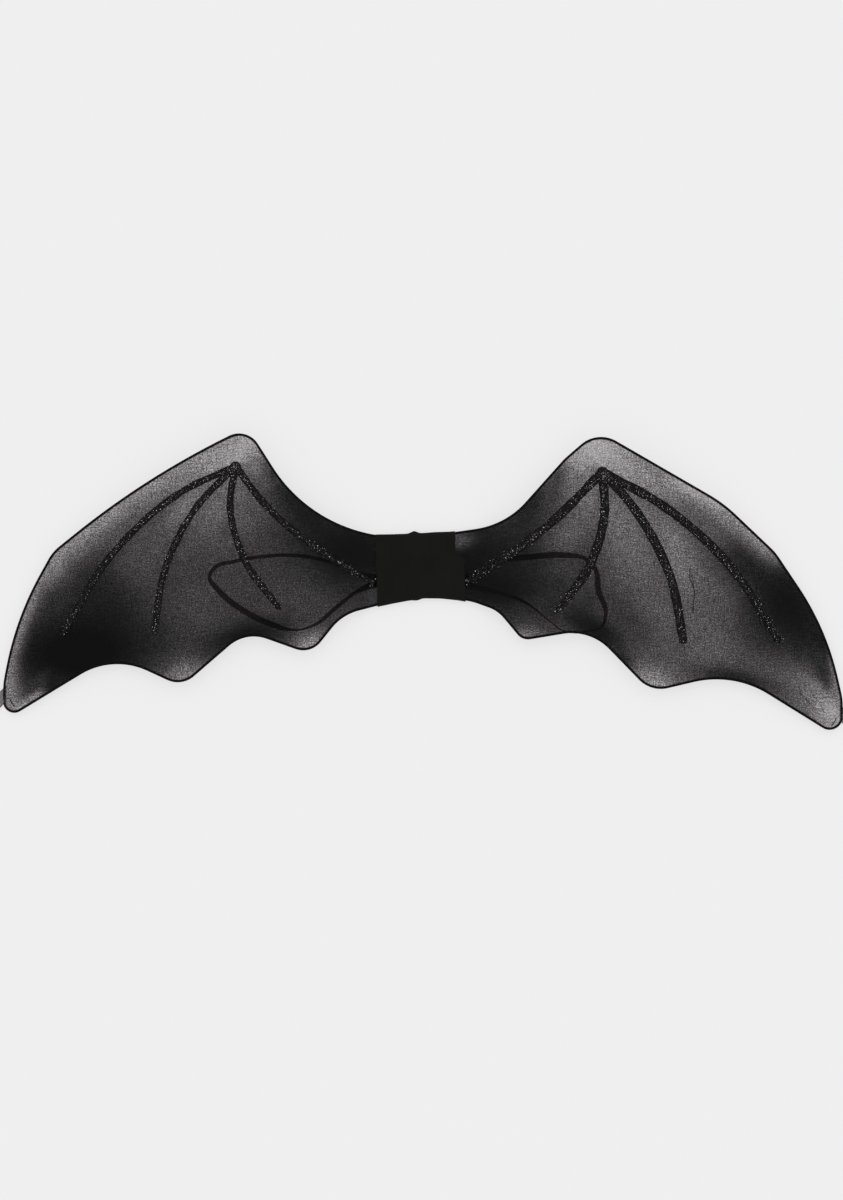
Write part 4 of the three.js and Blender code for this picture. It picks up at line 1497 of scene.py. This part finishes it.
def left_wing() -> Wing:
    """The left wing's sizes, shades, veins and strap route.

    Returns:
        The wing, ready to build.
    """
    shape = WingShape(
        hand=Hand.LEFT,
        reach=411 * MM,
        height=275.5 * MM,
        band_edge=39.5 * MM,
        strap_reach=206 * MM,
        corners=(
            Corner("neck_top", 0.244, 0.1145, 0.545),
            Corner("apex", 0.4088, 0.5005, 0.076),
            Corner("leading", 0.66, 0.3125, 3.05),
            Corner("shoulder", 0.8797, 0.0512, 0.16),
            Corner("outer", 0.9688, -0.187, 1.13),
            Corner("tip_side", 0.9995, -0.421, 0.22),
            Corner("tip", 1.001, -0.553, 0.036),
            Corner("crest_1", 0.735, -0.313, 0.265),
            Corner("point_1", 0.5676, -0.428, 0.084),
            Corner("crest_2", 0.412, -0.2276, 0.142),
            Corner("point_2", 0.2547, -0.311, 0.076),
            Corner("crest_3", 0.1787, -0.169, 0.189),
        ),
    )
    zones = (
        Zone("under_knuckle", -203, 66, 54, 44, 0, 96),
        Zone("outer_field", -268, 20, 44, 28, 25, 70),
        Zone("outer_hollow", -316, -30, 46, 32, -48, 34),
        Zone("low_middle", -220, -38, 28, 26, 0, 62),
        Zone("between_veins", -232, 58, 26, 9, 48, 106),
        Zone("inner_shade", -190, 37, 11, 7, 80, 62),
        Zone("strap_middle", -120, -34, 36, 22, 0, 60),
        Zone("pool", -336, -86, 80, 45, 4, 12),
        Zone("neck", -64, 16, 66, 42, -25, 19),
        Zone("neck_flank", -110, 62, 42, 20, -42, 26),
        Zone("by_band_low", -44, -31, 13, 9, 10, 50),
        Zone("crest_2", -168, -70, 42, 16, 14, 21),
        Zone("point_1", -227, -120, 28, 25, 5, 122),
        Zone("point_2", -102, -84, 22, 18, 20, 137),
        Zone("apex", -184, 118, 42, 27, 16, 160),
        Zone("apex_top", -180, 128, 24, 9, 24, 182),
        Zone("apex_flank", -153, 90, 15, 10, -65, 74),
        Zone("apex_inner", -161, 100, 10, 6, -62, 108),
        Zone("flank_edge", -139, 90, 12, 5, -58, 46),
        Zone("tip", -395, -142, 32, 13, 32, 148),
        Zone("tip_low", -384, -133, 11, 5, 28, 118),
        Zone("tip_wedge", -384, -120, 21, 6, 44, 42),
        Zone("tip_shade", -361, -118, 12, 8, 30, 24),
    )
    return Wing(
        shape=shape,
        wire=OutlineWire(shape),
        sleeve=SheerSleeve(
            shape,
            middle=55,
            zones=zones,
            rims=(
                Rim("leading", 0.35, 0.78, 20, 124),
                Rim("outer", 0.74, 1.1, 10, 118),
                Rim("tip", 0.95, 1.1, 14, 112),
            ),
            flat=(0.43, 0.28),
            area=0.075,
            # Painted shade beside the veins, as a share of the grey
            vein_shade=0.2,
        ),
        veins=GlitterVeins(
            shape,
            knuckle=(0.4355, 0.3648),
            veins=(
                Vein("leading", (0.565, 0.273), (0.738, 0.043), (0.86, -0.247), 0.68, 0.45),
                Vein("outer", (0.5325, 0.2123), (0.6067, -0.0055), (0.635, -0.2486), 0.8, 0.6),
                Vein("inner", (0.449, 0.225), (0.417, 0.034), (0.3275, -0.155), 0.85, 0.7),
                Vein("root", (0.3674, 0.2316), (0.2324, 0.0603), (0.0965, -0.0617), 0.5, 0.35),
            ),
            width=7.0 * MM,
            pool_share=0.86,
            seed=11,
        ),
        snags=PulledThreads(
            shape,
            (
                Snag("snag_1", ((-258, 91), (-254, 89), (-250, 90)), 0.4, 0.5),
                Snag("snag_2", ((-225, 107), (-221, 105)), 0.4, 0.5),
            ),
        ),
        strap=ArmStrap(
            shape,
            spread=76 * MM,
            route=(
                StrapPoint(0.08, -0.1, 40),
                StrapPoint(0.25, 0.05, 56),
                StrapPoint(0.42, 0.14, 57),
                StrapPoint(0.68, 0.14, 57),
                StrapPoint(0.86, 0.07, 56),
                StrapPoint(0.965, 0.0, 52),
                StrapPoint(1.0, -0.12, 54),
                StrapPoint(0.94, -0.32, 28),
                StrapPoint(0.79, -0.58, 10),
                StrapPoint(0.62, -0.76, 24),
                StrapPoint(0.47, -0.83, 76),
                StrapPoint(0.365, -0.76, 66),
                StrapPoint(0.24, -0.54, 52),
                StrapPoint(0.11, -0.32, 55),
            ),
        ),
        loop=TipLoop(shape, share=-0.462),
    )


def right_wing() -> Wing:
    """The right wing's sizes, shades, veins and strap route.

    Returns:
        The wing, ready to build.
    """
    shape = WingShape(
        hand=Hand.RIGHT,
        reach=427 * MM,
        height=290 * MM,
        band_edge=49 * MM,
        strap_reach=191 * MM,
        corners=(
            Corner("neck_top", 0.2138, 0.1415, 0.286),
            Corner("rise", 0.351, 0.3676, 0.207),
            Corner("apex", 0.4265, 0.4638, 0.1),
            Corner("leading", 0.72, 0.216, 0.5),
            Corner("shoulder", 0.842, 0.047, 0.207),
            Corner("outer", 0.9614, -0.2134, 0.93),
            Corner("tip_side", 0.9995, -0.455, 0.207),
            Corner("tip", 1.001, -0.5907, 0.0414),
            Corner("crest_1", 0.7466, -0.359, 0.348),
            Corner("point_1", 0.5534, -0.4255, 0.1),
            Corner("crest_2", 0.411, -0.2097, 0.186),
            Corner("point_2", 0.2532, -0.248, 0.0414),
            Corner("crest_3", 0.1958, -0.147, 0.124),
            Corner("neck_bottom", 0.131, -0.112, 0.207),
        ),
    )
    zones = (
        Zone("heart", 206, 46, 50, 32, -66, 106),
        Zone("under_knuckle", 170, 66, 20, 24, 0, 110),
        Zone("outer_heart", 262, 14, 42, 17, -66, 104),
        Zone("inner_field", 116, -8, 74, 66, 0, 40),
        Zone("below_root_vein", 152, 32, 26, 17, 30, 84),
        Zone("strap_upper", 150, -2, 24, 10, 0, 56),
        Zone("strap_lower", 172, -32, 13, 14, 0, 46),
        Zone("centre_low", 208, -48, 46, 16, -45, 52),
        Zone("crest_2", 180, -63, 40, 15, -30, 22),
        Zone("crest_2_low", 206, -90, 16, 7, -40, 34),
        Zone("outer_middle", 330, 6, 30, 24, -40, 42),
        Zone("outer_low", 338, -64, 22, 32, 12, 58),
        Zone("pool", 374, -40, 68, 42, -58, 20),
        Zone("neck", 58, 2, 62, 62, 0, 21),
        Zone("neck_flank", 112, 60, 34, 18, 52, 33),
        Zone("by_band_low", 80, -22, 34, 14, -10, 19),
        Zone("by_band_top", 42, 27, 17, 9, 6, 68),
        Zone("point_2", 112, -76, 22, 14, -8, 112),
        Zone("crest_1", 320, -114, 44, 13, -12, 30),
        Zone("point_1", 236, -122, 23, 20, -4, 130),
        Zone("tip_fold", 390, -120, 24, 14, -48, 90),
        Zone("tip", 421, -150, 34, 21, -56, 149),
        Zone("pool_edge", 407, -82, 25, 12, -68, 22),
        Zone("tip_wedge", 407, -100, 24, 7, -72, 42),
        Zone("over_leading", 222, 92, 40, 15, -31, 130),
        Zone("above_leading", 234, 101, 28, 6, -31, 112),
        Zone("apex", 179, 116, 39, 28, -4, 154),
        Zone("apex_flank", 138, 80, 24, 8, 70, 56),
    )
    return Wing(
        shape=shape,
        wire=OutlineWire(shape),
        sleeve=SheerSleeve(
            shape,
            middle=80,
            zones=zones,
            rims=(
                Rim("leading", 0.49, 0.62, 12.5, 152),
                Rim("shoulder", 0.6, 0.715, 12.5, 126),
                Rim("outer", 0.9, 0.99, 5, 100),
            ),
            flat=(0.44, 0.29),
            area=0.078,
            # Painted shade beside the veins, as a share of the grey
            vein_shade=0.32,
        ),
        veins=GlitterVeins(
            shape,
            knuckle=(0.4379, 0.3276),
            veins=(
                Vein("leading", (0.5902, 0.2), (0.744, -0.008), (0.8545, -0.2665), 0.55, 0.15),
                Vein("outer", (0.5025, 0.22), (0.5965, -0.031), (0.6295, -0.2655), 0.95, 0.9),
                Vein("inner", (0.4426, 0.1793), (0.4082, 0.0038), (0.3302, -0.1569), 0.62, 0.2),
                Vein("root", (0.3185, 0.1524), (0.2138, 0.0352), (0.1165, -0.0569), 0.5, 0.25),
            ),
            width=9.2 * MM,
            seed=23,
        ),
        snags=PulledThreads(
            shape,
            (
                Snag("ladder_1", ((275.5, 3), (274.5, -10), (279.5, -25), (278, -36), (278, -48)), 0.7, 0.6),
                Snag("ladder_2", ((276, -7.5), (278, -13), (279, -19)), 0.6, 0.55),
                Snag("fold_1", ((384, -119), (386.4, -127), (391, -132), (400, -142)), 0.6, 0.5),
                Snag("fold_2", ((395, -124), (402, -132), (410, -146)), 0.5, 0.4),
                Snag("fold_3", ((405, -131), (414, -130), (422, -132)), 0.4, 0.4),
            ),
        ),
        strap=ArmStrap(
            shape,
            spread=80 * MM,
            route=(
                StrapPoint(0.08, -0.11, 40),
                StrapPoint(0.25, 0.07, 38),
                StrapPoint(0.48, 0.13, 20),
                StrapPoint(0.71, 0.15, 26),
                StrapPoint(0.86, 0.1, 62),
                StrapPoint(0.93, -0.04, 46),
                StrapPoint(0.95, -0.3, 30),
                StrapPoint(1.0, -0.55, 52),
                StrapPoint(0.975, -0.74, 76),
                StrapPoint(0.86, -0.81, 80),
                StrapPoint(0.7, -0.8, 82),
                StrapPoint(0.595, -0.66, 84),
                StrapPoint(0.42, -0.43, 66),
                StrapPoint(0.2, -0.3, 55),
            ),
        ),
        loop=TipLoop(shape, share=-0.505),
    )


@dataclass
class Studio:
    """Pale floor, soft light from the upper edge's side, and a camera straight above."""

    floor_size: float = 14.0
    floor_drop: float = 0.2 * MM
    sky: float = 0.87
    key_power: float = 0.5
    key_spread: float = math.radians(40)
    key_tilt: float = math.radians(35)
    camera_height: float = 3.6
    picture_plane: float = 10 * MM
    picture: tuple[int, int] = (843, 1200)
    millimetres_per_pixel: float = 1.0
    origin_pixel: tuple[float, float] = (415, 567)
    sensor: float = 36.0

    def build(self) -> None:
        """Sets up floor, lights, world and camera."""
        self._floor()
        self._light()
        self._camera()
        bpy.context.scene.view_settings.view_transform = "Standard"

    def _floor(self) -> None:
        """A plane just below what the wings rest on, in opal acrylic lit evenly from below."""
        half = self.floor_size / 2
        corners = np.array([(-1, -1), (1, -1), (1, 1), (-1, 1)]) * half
        points = np.concatenate([corners, np.full((4, 1), -self.floor_drop)], axis=1)
        finish_mesh("floor", points, [[0, 1, 2, 3]], FLOOR.make())

    def _light(self) -> None:
        """An even white surround and one broad far lamp beyond the upper edge."""
        world = bpy.data.worlds.new("studio surround")
        bpy.context.scene.world = world
        world.use_nodes = True
        shell = world.node_tree.nodes["Background"]
        shell.inputs["Color"].default_value = (1, 1, 1, 1)
        shell.inputs["Strength"].default_value = self.sky
        lamp = bpy.data.lights.new("broad key", "SUN")
        lamp.energy = self.key_power
        lamp.angle = self.key_spread
        key = bpy.data.objects.new("broad key", lamp)
        key.rotation_euler = (-self.key_tilt, 0, 0)
        bpy.context.scene.collection.objects.link(key)

    def _camera(self) -> None:
        """A long lens straight above, framed so that a picture's pixel is its size in millimetres."""
        wide, tall = (side * self.millimetres_per_pixel * MM for side in self.picture)
        left = self.origin_pixel[0] * self.millimetres_per_pixel * MM
        above = self.origin_pixel[1] * self.millimetres_per_pixel * MM
        lens = bpy.data.cameras.new("overhead camera")
        lens.sensor_width = self.sensor
        lens.lens = self.sensor * self.camera_height / tall
        lens.clip_end = 50
        eye = bpy.data.objects.new("overhead camera", lens)
        eye.location = (wide / 2 - left, above - tall / 2, self.picture_plane + self.camera_height)
        bpy.context.scene.collection.objects.link(eye)
        bpy.context.scene.camera = eye


def main() -> None:
    """Builds both wings, the band and the studio."""
    logging.basicConfig(level=logging.INFO, format="%(name)s: %(message)s")
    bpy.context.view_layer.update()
    finishes = {
        "wire": WIRE.make(),
        "knit": StretchedKnit().make(),
        "glue": GlitterGlue().make(),
        "flake": GlitterFlake().make(),
        "elastic": WovenElastic().make(),
        "ribbon": SheerRibbon().make(),
        "thread": THREAD.make(),
        "band": WrappedKnit().make(),
    }
    pieces: list[bpy.types.Object] = []
    for wing in (left_wing(), right_wing()):
        pieces += wing.build(finishes)
    pieces.append(CentreBand().build(finishes["band"]))
    for piece in pieces:
        LOG.info("%s: %d faces", piece.name, len(piece.data.polygons))
    Studio().build()


if __name__ == "__main__":
    main()
